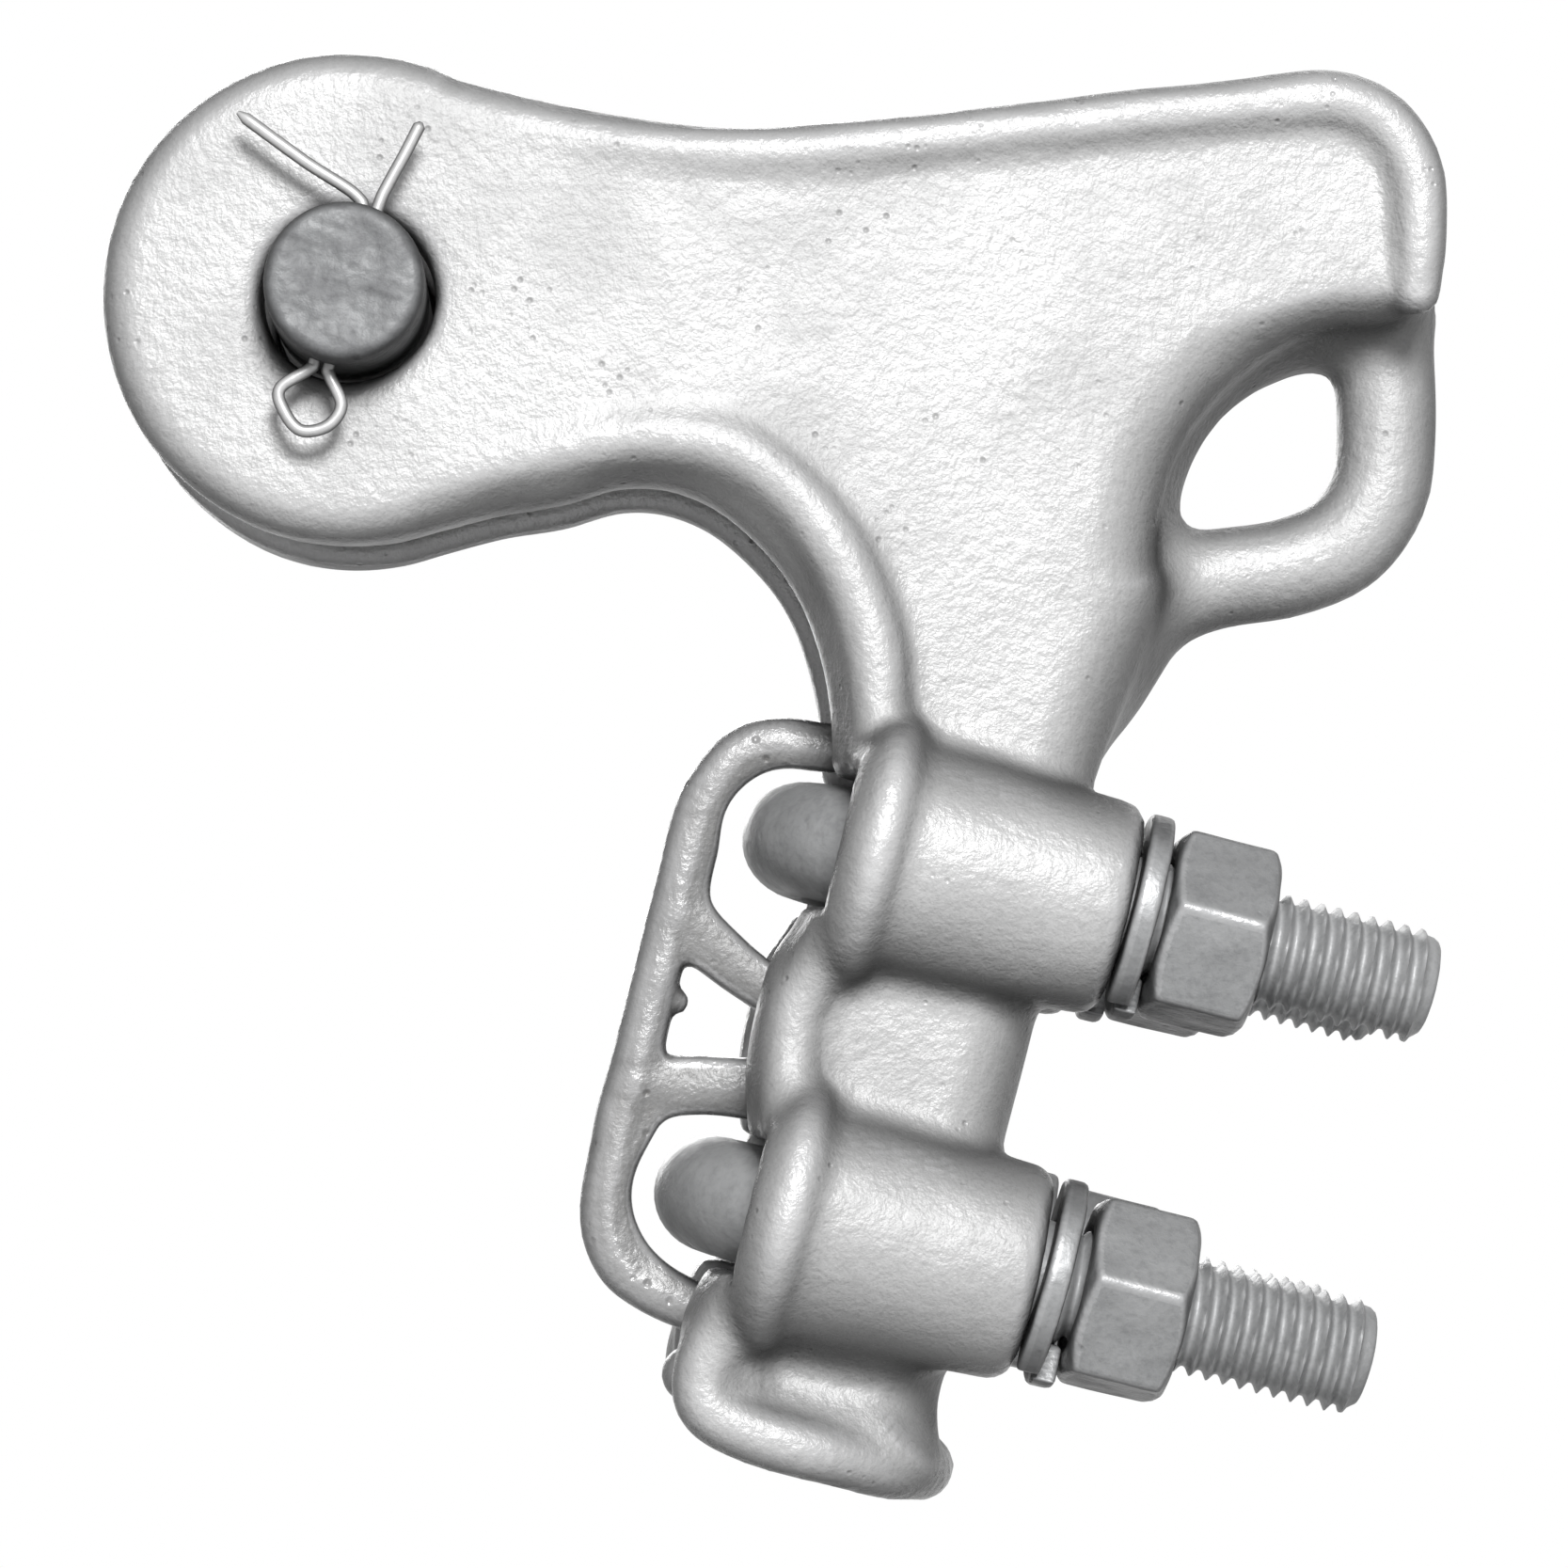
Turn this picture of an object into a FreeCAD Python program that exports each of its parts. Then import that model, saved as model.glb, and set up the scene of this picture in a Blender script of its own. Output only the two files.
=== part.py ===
import FreeCAD, Part
import math
import os

# Bolted strain clamp of the quadrant kind, in millimetres.
# The origin is the axis of the clevis pin at the middle of the clevis.
# +X points along the line conductor, +Z up, and the bolts lie in planes square to Y.
# The grip leans: "bolt way" (u) runs along the bolts towards the nuts and
# "grip way" (v) runs down the grip, both measured from the origin.

V = FreeCAD.Vector

# ---- clevis and side walls -------------------------------------------------
pin_diameter = 16.0
pin_hole_clearance = 1.5
clevis_gap = 20.0
ear_thickness = 10.0
ear_radius = 25.0
edge_rounding = 3.6
back_rounding = 8.0
wall_taper_start = 30.0
wall_end_half_width = 16.0
barrel_length = 111.5
waist_height = 17.6
mouth_height = 23.9
mouth_corner_radius = 11.0
mouth_flat = 4.0
mouth_flare_length = 4.3

# ---- grip ------------------------------------------------------------------
grip_angle = 14.0
lip_u = 58.5
grip_end_v = 104.0
quadrant_radius = 30.0
barrel_floor_z = 4.0
floor_u = 80.3
floor_thickness = 5.0
groove_radius = 4.5
groove_depth = 12.3
inner_curve_radius = 17.8
inner_curve_edge_u = 55.86
inner_curve_v = 28.64

# ---- beads -----------------------------------------------------------------
top_bead_radius = 2.5
top_bead_y = 17.4
lip_bead_radius = 2.9
lip_bead_y = 18.0
lip_setback = 5.6
flare_bead_radius = 3.2
flare_proud = 0.9
end_flare_length = 7.0
end_flare_radius = 9.0
end_flare_drop = 4.2
mouth_flare_radius = 6.0

# ---- conductor range -------------------------------------------------------
smallest_conductor = 6.0
largest_conductor = 18.0
rest_conductor = 9.2

# ---- U-bolts, nuts, lock washers -------------------------------------------
bolt_diameter = 12.0
bolt_spread = 34.0
bolt_hole_clearance = 1.5
upper_bolt_v = 41.3
lower_bolt_v = 79.0
bend_outer_u = 51.9
upper_tip_u = 122.8
lower_tip_u = 125.4
tip_chamfer = 1.6
boss_end_u = 90.6
boss_base_radius = 12.4
boss_end_radius = 10.9
hood_edge_u = 61.0
hood_rim_u = 64.8
hood_rim_radius = 2.6
nut_flats = 18.0
nut_height = 10.8
nut_chamfer_angle = 30.0
nut_turn = 10.0
washer_turn = 115.0
washer_outer_diameter = 21.0
washer_thickness = 2.5
upper_washer_height = 3.5
lower_washer_height = 4.4
washer_seat_gap = 0.1
thread_clearance = 0.15

# ---- keeper ----------------------------------------------------------------
rail_outer_u = 44.3
rail_radius = 2.5
fin_thickness = 3.6
keeper_top_v = 29.0
keeper_bottom_v = 92.5
keeper_corner_radius = 9.0
saddle_top_v = 26.5
saddle_bottom_v = 99.5
saddle_half_width = 7.2
nose_half_width = 3.8
nose_hollow = 0.9
rib_radius = 1.8
bolt_window_clearance = 1.6
bolt_seat_clearance = 0.3
tail_lift = 7.0

# ---- pulling eye -----------------------------------------------------------
eye_bar_radius = 5.2
eye_bend_radius = 12.0
eye_slope = 0.12
eye_web_half = 4.0
eye_overhang = 1.5
eye_bottom_z = -30.5
eye_hole_width = 16.2
eye_hole_top_z = -7.6
eye_hole_bend = 4.5
web_foot_v = 22.5

# ---- clevis pin and cotter -------------------------------------------------
pin_protrusion = 10.0
pin_end_chamfer = 1.0
pin_head_diameter = 24.0
pin_head_height = 6.0
pin_seat_gap = 0.3
cotter_wire = 1.3
cotter_hole_diameter = 3.2
cotter_offset = 4.4
cotter_angle = 17.0
cotter_loop_drop = 15.2
cotter_loop_half = 3.3
left_leg_length = 15.6
left_leg_spread = 72.0
right_leg_length = 9.6
right_leg_spread = 9.0

# ---- values worked out from the sizes above --------------------------------
half_gap = clevis_gap / 2
half_width = half_gap + ear_thickness
lean = math.radians(grip_angle)
bolt_way = V(math.cos(lean), 0, -math.sin(lean))
grip_way = V(-math.sin(lean), 0, -math.cos(lean))
y_way = V(0, 1, 0)
bolt_radius = bolt_diameter / 2
bolt_hole_radius = bolt_radius + bolt_hole_clearance / 2
bend_radius = bolt_spread / 2
bend_centre_u = bend_outer_u + bolt_radius + bend_radius
bolt_rows = {"upper": upper_bolt_v, "lower": lower_bolt_v}
bolt_tips = {"upper": upper_tip_u, "lower": lower_tip_u}
washer_heights = {"upper": upper_washer_height, "lower": lower_washer_height}
bolt_sides = {"near": -1, "far": 1}
curl_centre = bolt_way * (inner_curve_edge_u - inner_curve_radius) + grip_way * inner_curve_v
press_face_u = floor_u - rest_conductor
closing_travel = rest_conductor - smallest_conductor
opening_travel = largest_conductor - rest_conductor
corner_x = (floor_u + math.sin(lean) * barrel_floor_z) / math.cos(lean)
turn = math.pi / 2 - lean
quadrant_x = corner_x + quadrant_radius * math.tan(turn / 2)
quadrant_centre = V(quadrant_x, 0, barrel_floor_z - quadrant_radius)
reach = 160.0
cotter_y = -half_width - cotter_offset
eye_right_x = barrel_length + eye_overhang
pin_hole_radius = (pin_diameter + pin_hole_clearance) / 2


def at(u, v, y=0.0):
    """A point from its bolt way, grip way and side coordinates."""
    return bolt_way * u + grip_way * v + V(0, y, 0)


def uv(point):
    """The bolt way and grip way coordinates of a point."""
    return point.dot(bolt_way), point.dot(grip_way)


def line(a, b):
    return Part.LineSegment(a, b).toShape()


def arc(a, m, b):
    return Part.Arc(a, m, b).toShape()


def curve(points, start=None, end=None):
    """A smooth curve through points, with the tangents it starts and ends on."""
    spline = Part.BSplineCurve()
    if start is None:
        spline.interpolate(points)
    else:
        spline.interpolate(Points=points, InitialTangent=start, FinalTangent=end)
    return spline.toShape()


def rounded_path(points, bends):
    """Straight runs from point to point, joined by arcs of the given radii."""
    edges, start = [], points[0]
    for before, corner, after, bend in zip(points, points[1:], points[2:], bends):
        first, second = (before - corner).normalize(), (after - corner).normalize()
        half_angle = first.getAngle(second) / 2
        setback = bend / math.tan(half_angle)
        inward = (first + second).normalize()
        middle = corner + inward * (bend / math.sin(half_angle) - bend)
        finish = corner + second * setback
        edges += [line(start, corner + first * setback), arc(corner + first * setback, middle, finish)]
        start = finish
    return edges + [line(start, points[-1])]


def face_of(edges):
    return Part.Face(Part.Wire(edges))


def slab(face, half):
    """A face in the middle plane, thickened by half to each side."""
    moved = face.copy()
    moved.translate(V(0, -half, 0))
    return moved.extrude(V(0, 2 * half, 0))


def rod(u0, u1, v, y, radius, radius_end=None):
    """A round bar or cone along the bolt way."""
    if radius_end is None:
        return Part.makeCylinder(radius, u1 - u0, at(u0, v, y), bolt_way)
    return Part.makeCone(radius, radius_end, u1 - u0, at(u0, v, y), bolt_way)


def leaning_box(u0, u1, v0, v1, y0, y1):
    """A box square to the grip."""
    corners = [at(u0, v0, y0), at(u1, v0, y0), at(u1, v1, y0), at(u0, v1, y0)]
    face = Part.Face(Part.makePolygon(corners + corners[:1]))
    return face.extrude(V(0, y1 - y0, 0))


def pipe(path_edges, radius):
    """A round bar along a path."""
    path = Part.Wire(path_edges)
    first = path_edges[0]
    start = first.valueAt(first.FirstParameter)
    way = first.tangentAt(first.FirstParameter)
    ring = Part.Wire(Part.makeCircle(radius, start, way))
    return path.makePipeShell([ring], True, True)


# ---- clamp body ------------------------------------------------------------
def wall_outline():
    """Outline of the body seen from the side: ear, top edge, mouth, back, lip."""
    ear = V(0, 0, 0)
    curl = curl_centre
    along = curl - ear
    spread = math.acos((ear_radius + inner_curve_radius) / along.Length)
    start = math.atan2(along.z, along.x) - spread
    way = V(math.cos(start), 0, math.sin(start))
    ear_end = ear + way * ear_radius
    curl_start = curl - way * inner_curve_radius
    curl_top = curl + V(0.5, 0, math.sqrt(0.75)) * inner_curve_radius
    curl_end = curl + V(math.cos(0.05), 0, math.sin(0.05)) * inner_curve_radius
    top_start = V(math.cos(1.2), 0, math.sin(1.2)) * ear_radius
    ear_left = V(-ear_radius, 0, 0)
    corner = V(barrel_length - mouth_corner_radius, 0, mouth_height - mouth_corner_radius)
    top_end = corner + V(0, 0, mouth_corner_radius)
    corner_mid = corner + V(1, 0, 1) * (mouth_corner_radius * math.sqrt(0.5))
    mouth_side = corner + V(mouth_corner_radius, 0, 0)
    back_radius = quadrant_radius - floor_thickness
    short = max(quadrant_centre.x - barrel_length + mouth_flat, 0)
    swing = math.asin(short / back_radius)
    back_start = quadrant_centre + V(-math.sin(swing), 0, math.cos(swing)) * back_radius
    foot_run = barrel_length - back_start.x
    mouth_foot = back_start + V(foot_run, 0, foot_run * math.tan(swing))
    back_mid = quadrant_centre + V(-math.cos(0.75), 0, math.sin(0.75)) * back_radius
    back_end = quadrant_centre - bolt_way * back_radius
    back_u, back_v = uv(back_end)
    foot = grip_end_v - flare_proud
    lip = [curl_end, at(lip_u, 33), at(lip_u + 1.8, upper_bolt_v), at(lip_u - 1.6, 54)]
    lip += [at(lip_u - 0.2, 65), at(lip_u + 1.6, lower_bolt_v - 1), at(lip_u - 0.7, 92)]
    lip += [at(lip_u + 1.2, foot - 3.5)]
    waist = [top_start, V(22, 0, waist_height + 2.2), V(40, 0, waist_height), top_end]
    return [
        arc(top_start, ear_left, ear_end),
        line(ear_end, curl_start),
        arc(curl_start, curl_top, curl_end),
        curve(lip, V(0.1, 0, -1), grip_way),
        arc(lip[-1], at(lip_u + 2.2, foot - 1), at(lip_u + 4.7, foot)),
        line(at(lip_u + 4.7, foot), at(back_u, foot)),
        line(at(back_u, foot), back_end),
        arc(back_end, back_mid, back_start),
        line(back_start, mouth_foot),
        line(mouth_foot, mouth_side),
        arc(mouth_side, corner_mid, top_end),
        curve(waist[::-1], V(-1, 0, -0.09), V(-math.sin(1.2), 0, math.cos(1.2))),
    ]


def wall_block():
    """Both walls as one block, thinner towards the mouth, with rounded edges."""
    block = slab(face_of(wall_outline()), half_width)
    ends = [(-reach, half_width), (wall_taper_start, half_width), (barrel_length, wall_end_half_width)]
    far = (reach, wall_end_half_width)
    shape = [V(x, y, -reach) for x, y in ends + [far]]
    shape += [V(p.x, -p.y, p.z) for p in reversed(shape)]
    envelope = Part.Face(Part.makePolygon(shape + shape[:1])).extrude(V(0, 0, 2 * reach))
    return block.common(envelope)


def middle_of(edge):
    return edge.valueAt((edge.FirstParameter + edge.LastParameter) / 2)


def is_rim(edge):
    """True for an edge that runs round a side face of the wall block."""
    ends = [vertex.Point for vertex in edge.Vertexes]
    across = abs(ends[0].y - ends[-1].y) > ear_thickness
    at_taper = all(abs(p.x - wall_taper_start) < 0.01 for p in ends)
    return abs(middle_of(edge).y) > half_gap and not across and not at_taper


def is_sharp(shape, edge):
    """True where the two faces at an edge meet at a clear angle."""
    point = middle_of(edge)
    faces = shape.ancestorsOfType(edge, Part.Face)
    normals = [face.normalAt(*face.Surface.parameter(point)) for face in faces]
    return len(normals) == 2 and normals[0].getAngle(normals[1]) > 0.3


def is_back(edge):
    """True for the rims of the grip's back, the quadrant's back and the mouth's foot."""
    point = middle_of(edge)
    along_grip = abs(uv(point)[0] - floor_u - floor_thickness) < 0.5
    apart = math.hypot(point.x - quadrant_centre.x, point.z - quadrant_centre.z)
    round_back = abs(apart - quadrant_radius + floor_thickness) < 0.3
    return along_grip or round_back


def rounded_walls():
    """The wall block with a full round along its back and a smaller one elsewhere."""
    block = wall_block().Solids[0]
    back = [edge for edge in block.Edges if is_rim(edge) and is_back(edge)]
    block = block.makeFillet(back_rounding, back).Solids[0]
    rims = [edge for edge in block.Edges if is_rim(edge) and is_sharp(block, edge)]
    return block.makeFillet(edge_rounding, rims).Solids[0]


def groove_section(foot, rise):
    """Section of the slot at foot, with its U-shaped groove at the bottom."""
    centre = foot + rise * groove_radius
    shoulder = math.atan2(groove_depth - groove_radius, half_gap)
    reach_out = math.hypot(groove_depth - groove_radius, half_gap)
    swing = shoulder - math.acos(groove_radius / reach_out)

    def edge_point(side, s, y):
        return foot + rise * s + V(0, side * y, 0)

    def touch(side):
        outward = V(0, side * math.cos(swing), 0)
        return centre + (rise * math.sin(swing) + outward) * groove_radius

    left, right = touch(-1), touch(1)
    points = [right, edge_point(1, groove_depth, half_gap), edge_point(1, reach, half_gap)]
    points += [edge_point(-1, reach, half_gap), edge_point(-1, groove_depth, half_gap), left]
    edges = [line(a, b) for a, b in zip(points, points[1:])]
    return face_of(edges + [arc(left, foot, right)])


def slot_cutter():
    """The space between the walls: down the grip, round the quadrant, along the mouth."""
    grip_top = quadrant_centre - bolt_way * quadrant_radius
    barrel_start = quadrant_centre + V(0, 0, quadrant_radius)
    section = groove_section(grip_top, bolt_way * -1)
    degrees = math.degrees(turn)
    mouth_section = groove_section(barrel_start, V(0, 0, 1))
    flare_x = max(barrel_length - mouth_flare_length, quadrant_centre.x)
    flare_foot = V(flare_x, 0, barrel_floor_z)
    flare_section = groove_section(flare_foot, V(0, 0, 1))
    flare_axis = flare_foot - V(0, 0, mouth_flare_radius)
    flare_start = at(floor_u, grip_end_v - end_flare_length)
    end_section = groove_section(flare_start, bolt_way * -1)
    end_axis = flare_start + bolt_way * end_flare_radius
    slope = math.degrees(math.asin(end_flare_length / end_flare_radius))
    return [
        section.extrude(grip_way * reach),
        section.revolve(quadrant_centre, y_way, degrees),
        mouth_section.extrude(V(reach / 4, 0, 0)),
        flare_section.revolve(flare_axis, y_way, 75),
        end_section.revolve(end_axis, y_way, -slope),
    ]


def boss(v, side):
    """A boss round one leg of a U-bolt, with a hood that shields the bend."""
    return rod(hood_edge_u, boss_end_u, v, side * bend_radius, boss_base_radius, boss_end_radius)


def bolt_space(v):
    """Room for one U-bolt: the near hole, and a pocket that its bend slides in."""
    hole = rod(0, reach, v, -bend_radius, bolt_hole_radius)
    inner = bend_centre_u + closing_travel
    outer_y = bend_radius + bolt_hole_radius
    pocket = leaning_box(0, inner, v - bolt_hole_radius, v + bolt_hole_radius, -outer_y, 0)
    core_radius = bend_radius - bolt_hole_radius
    core = Part.makeCylinder(core_radius, 2 * bolt_hole_radius, at(inner, v - bolt_hole_radius), grip_way)
    return [hole, pocket.cut(core)]


def top_bead(side):
    """The rounded rim along the top edge, round the mouth's corner and down its end."""
    y = side * top_bead_y
    inset = top_bead_radius
    corner = V(barrel_length - mouth_corner_radius, y, mouth_height - mouth_corner_radius)
    bend = mouth_corner_radius - inset
    top_end = corner + V(0, 0, bend)
    side_start = corner + V(bend, 0, 0)
    low = waist_height - inset
    start = V(26, y - side * 2 * inset, low)
    foot = side_start - V(0, 0, mouth_height - mouth_corner_radius + 1)
    rise = [start, V(44, y, low), top_end - V(1, 0, 0.09) * 12, top_end]
    slope = rounded_path(rise, [60, 90])
    return pipe(slope + [
        arc(top_end, corner + V(1, 0, 1) * (bend * math.sqrt(0.5)), side_start),
        line(side_start, foot),
    ], inset)


def bar(a, b, radius):
    """A round bar between two points."""
    return Part.makeCylinder(radius, (b - a).Length, a, b - a)


def hood_rim(v, side):
    """The lip's round edge over one boss."""
    centre = at(hood_rim_u, v, side * bend_radius)
    return Part.makeTorus(boss_base_radius - 0.6, hood_rim_radius, centre, bolt_way)


def lip_bead(side):
    """The outward-turned lip: along the ear's underside, round the curl, down the grip."""
    curl = curl_centre + V(0, side * lip_bead_y, 0)
    ring = inner_curve_radius + lip_setback
    start = curl + V(-math.sin(0.45), 0, math.cos(0.45)) * ring
    middle = curl + V(math.sin(0.6), 0, math.cos(0.6)) * ring
    end = curl + bolt_way * ring
    foot = end + grip_way * (grip_end_v - flare_bead_radius - uv(end)[1])
    return pipe([arc(start, middle, end), line(end, foot)], lip_bead_radius)


def end_bead():
    """The flared rim round the lower end of the trough."""
    v = grip_end_v - flare_bead_radius
    wide = lip_bead_y
    back = floor_u + floor_thickness + end_flare_drop - flare_bead_radius
    turn_u = back - wide
    start_u = lip_u + 0.4
    return pipe([
        line(at(start_u, v, -wide), at(turn_u, v, -wide)),
        arc(at(turn_u, v, -wide), at(back, v, 0), at(turn_u, v, wide)),
        line(at(turn_u, v, wide), at(start_u, v, wide)),
    ], flare_bead_radius)


def eye():
    """The pulling eye under the mouth: a round loop with a web to the quadrant."""
    x = eye_right_x - eye_bar_radius
    z = eye_bottom_z + eye_bar_radius
    bend = eye_bend_radius
    slope = V(math.cos(eye_slope), 0, math.sin(eye_slope))
    corner = V(x, 0, z)
    bend_start = corner + V(0, 0, bend * math.tan(math.pi / 4 - eye_slope / 2))
    bend_end = corner - slope * bend * math.tan(math.pi / 4 - eye_slope / 2)
    centre = bend_start - V(bend, 0, 0)
    middle = centre + (corner - centre).normalize() * bend
    loop = pipe([
        line(V(x, 0, barrel_floor_z - 1), bend_start),
        arc(bend_start, middle, bend_end),
        line(bend_end, bend_end - slope * 20),
    ], eye_bar_radius)
    return loop


def eye_web():
    """The web between the eye's opening and the back of the quadrant."""
    bar_x = eye_right_x - eye_bar_radius
    back = quadrant_centre - bolt_way * (quadrant_radius - floor_thickness / 2)
    foot = at(floor_u + floor_thickness / 2, web_foot_v)
    loop_z = eye_bottom_z + eye_bar_radius
    outline = [V(bar_x, 0, quadrant_centre.z + quadrant_radius - floor_thickness / 2), back, foot]
    outline += [V(bar_x - eye_hole_width - eye_bar_radius, 0, loop_z - eye_bar_radius / 2), V(bar_x, 0, loop_z)]
    plate = slab(Part.Face(Part.makePolygon(outline + outline[:1])), eye_web_half)
    right = eye_right_x - 2 * eye_bar_radius
    left = right - eye_hole_width
    low = eye_bottom_z + 2 * eye_bar_radius
    start = V(right - eye_hole_width / 2, 0, low - eye_slope * eye_hole_width / 2)
    corners = [V(right, 0, low), V(right, 0, eye_hole_top_z)]
    corners += [V(left + eye_hole_bend, 0, eye_hole_top_z), V(left, 0, low - eye_slope * eye_hole_width)]
    bends = [eye_hole_bend, eye_hole_bend, eye_hole_bend, eye_hole_bend / 2]
    opening = rounded_path([start] + corners + [start], bends)
    return plate.cut(slab(face_of(opening), 2 * eye_web_half))


def near_half(shape):
    """The part of a shape on the near side of the middle plane."""
    return shape.common(Part.makeBox(2 * reach, reach, 2 * reach, V(-reach, -reach, -reach)))


def clamp_body():
    """The cast body: one half with its walls, lips, bosses and eye, then its mirror image."""
    cutters = slot_cutter()
    slot = cutters[0].fuse(cutters[1:])
    pin_hole = Part.makeCylinder(pin_hole_radius, reach, V(0, -reach, 0), y_way)
    half = near_half(rounded_walls()).cut([slot, pin_hole])
    crossing = [near_half(piece) for piece in (eye(), eye_web(), end_bead())]
    bosses = [boss(v, -1) for v in bolt_rows.values()]
    rims = [lip_bead(-1)] + [hood_rim(v, -1) for v in bolt_rows.values()]
    for piece in crossing + bosses + rims:
        half = half.fuse(piece.cut(slot))
    half = half.fuse(top_bead(-1))
    for v in bolt_rows.values():
        half = half.cut(bolt_space(v))
    other = half.mirror(V(0, 0, 0), y_way)
    return half.fuse(other)


# ---- keeper ----------------------------------------------------------------
def saddle():
    """The pressing bar: round-backed under the bolts, hollow where it meets the conductor."""
    seat_radius = bend_radius - bolt_radius - bolt_seat_clearance
    back_u = bend_centre_u - seat_radius
    side_u = bend_centre_u - math.sqrt(seat_radius ** 2 - saddle_half_width ** 2)
    nose_u = press_face_u + nose_hollow
    v = saddle_top_v
    corner = at(side_u, v, saddle_half_width)
    other = at(side_u, v, -saddle_half_width)
    nose = at(nose_u, v, nose_half_width)
    nose_other = at(nose_u, v, -nose_half_width)
    section = face_of([
        arc(other, at(back_u, v, 0), corner),
        line(corner, nose),
        arc(nose, at(press_face_u, v, 0), nose_other),
        line(nose_other, other),
    ])
    return section.extrude(grip_way * (saddle_bottom_v - saddle_top_v))


def keeper_outline():
    """Outline of the fin, with its rounded upper and lower corners."""
    u = rail_outer_u + rail_radius
    top, bottom, r = keeper_top_v + rail_radius, keeper_bottom_v - rail_radius, keeper_corner_radius
    inner = bend_centre_u - bend_radius + bolt_radius + 1.5
    return [
        line(at(inner, top - 1.5), at(u + r, top)),
        arc(at(u + r, top), at(u + r * 0.293, top + r * 0.293), at(u, top + r)),
        line(at(u, top + r), at(u, bottom - r)),
        arc(at(u, bottom - r), at(u + r * 0.293, bottom - r * 0.293), at(u + r, bottom)),
        line(at(u + r, bottom), at(inner, bottom + 1.5)),
    ]


def fin_window(points):
    return slab(Part.Face(Part.makePolygon(points + points[:1])), fin_thickness)


def bolt_window(v):
    """The D-shaped opening that a U-bolt's bend passes through."""
    r = bolt_radius + bolt_window_clearance
    u0 = rail_outer_u + 2 * rail_radius
    seat = bend_centre_u - bend_radius + bolt_radius + bolt_seat_clearance
    round_end = Part.makeCylinder(r, fin_thickness * 2, at(u0 + r, v, -fin_thickness), y_way)
    block = leaning_box(u0 + r, seat, v - r, v + r, -fin_thickness, fin_thickness)
    return round_end.fuse(block)


def keeper():
    """The cast keeper: a saddle with a fin that the bends of both U-bolts pass through."""
    edges = keeper_outline()
    first, last = edges[0].valueAt(edges[0].FirstParameter), edges[-1].valueAt(edges[-1].LastParameter)
    fin = slab(face_of(edges + [line(last, first)]), fin_thickness / 2)
    rail = pipe(edges, rail_radius)
    u0 = rail_outer_u + 2 * rail_radius
    u1 = bend_centre_u - bend_radius + bolt_radius
    reach_v = bolt_radius + bolt_window_clearance + rib_radius
    high, low = upper_bolt_v + reach_v, lower_bolt_v - reach_v
    ribs = [bar(at(u0 - 1, high), at(u1 + 1, high + 4), rib_radius)]
    ribs += [bar(at(u0 - 1, low), at(u1 + 1, low), rib_radius)]
    light = [at(u0, high + rib_radius), at(u1, high + 4 + rib_radius)]
    light += [at(u1, low - rib_radius), at(u0, low - rib_radius)]
    tail = bar(at(u1 + 2.5, saddle_bottom_v - 3), at(u1 + 2.5 - tail_lift, saddle_bottom_v - 1.5), 3.0)
    body = fin.cut([bolt_window(v) for v in bolt_rows.values()] + [fin_window(light)])
    body = body.fuse([rail] + ribs)
    body = body.cut([bolt_window(v) for v in bolt_rows.values()])
    return body.fuse([saddle(), tail])


# ---- U-bolts, nuts and lock washers ----------------------------------------
def u_bolt(row):
    """One U-bolt: two chamfered legs and a half-round bend."""
    v, tip = bolt_rows[row], bolt_tips[row]
    circle = Part.makeCircle(bolt_radius, at(bend_centre_u, v, -bend_radius), bolt_way)
    section = Part.Face(Part.Wire(circle))
    pieces = [section.revolve(at(bend_centre_u, v), grip_way, 180)]
    for side in bolt_sides.values():
        y = side * bend_radius
        pieces.append(rod(bend_centre_u, tip - tip_chamfer, v, y, bolt_radius))
        pieces.append(rod(tip - tip_chamfer, tip, v, y, bolt_radius, bolt_radius - tip_chamfer))
    return pieces[0].fuse(pieces[1:]).removeSplitter()


def nut_start(row):
    return boss_end_u + washer_heights[row] + 2 * washer_seat_gap


def nut(row, side):
    """A hexagon nut with chamfered corners on both faces."""
    start = nut_start(row)
    centre = at(start, bolt_rows[row], bolt_sides[side] * bend_radius)
    corner = nut_flats / math.sqrt(3)
    points = []
    for i in range(7):
        angle = math.radians(60 * i + nut_turn)
        points.append(centre + y_way * (corner * math.cos(angle)) + grip_way * (corner * math.sin(angle)))
    prism = Part.Face(Part.makePolygon(points)).extrude(bolt_way * nut_height)
    rise = (corner - nut_flats * 0.47) * math.tan(math.radians(nut_chamfer_angle))
    y, v = bolt_sides[side] * bend_radius, bolt_rows[row]
    end = start + nut_height
    low = rod(start, start + rise, v, y, nut_flats * 0.47, corner)
    middle = rod(start + rise, end - rise, v, y, corner)
    high = rod(end - rise, end, v, y, corner, nut_flats * 0.47)
    bore = rod(start - 1, end + 1, v, y, bolt_radius + thread_clearance)
    return prism.common(low.fuse([middle, high])).cut(bore)


def lock_washer(row, side):
    """A split spring washer, open by its free height."""
    height = washer_heights[row]
    rise = height - washer_thickness
    inner = bolt_radius + bolt_seat_clearance
    outer = washer_outer_diameter / 2
    base = at(boss_end_u + washer_seat_gap, bolt_rows[row], bolt_sides[side] * bend_radius)
    helix = Part.makeHelix(rise * 360 / 350, rise, (inner + outer) / 2)
    t = washer_thickness
    corners = [V(inner, 0, 0), V(outer, 0, 0), V(outer, 0, t), V(inner, 0, t)]
    section = Part.makePolygon(corners + corners[:1])
    coil = Part.Wire(helix.Edges).makePipeShell([section], True, True)
    turned = FreeCAD.Rotation(V(0, 0, 1), washer_turn)
    leaned = FreeCAD.Rotation(y_way, 90 + grip_angle)
    coil.Placement = FreeCAD.Placement(base, leaned.multiply(turned))
    return coil


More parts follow.
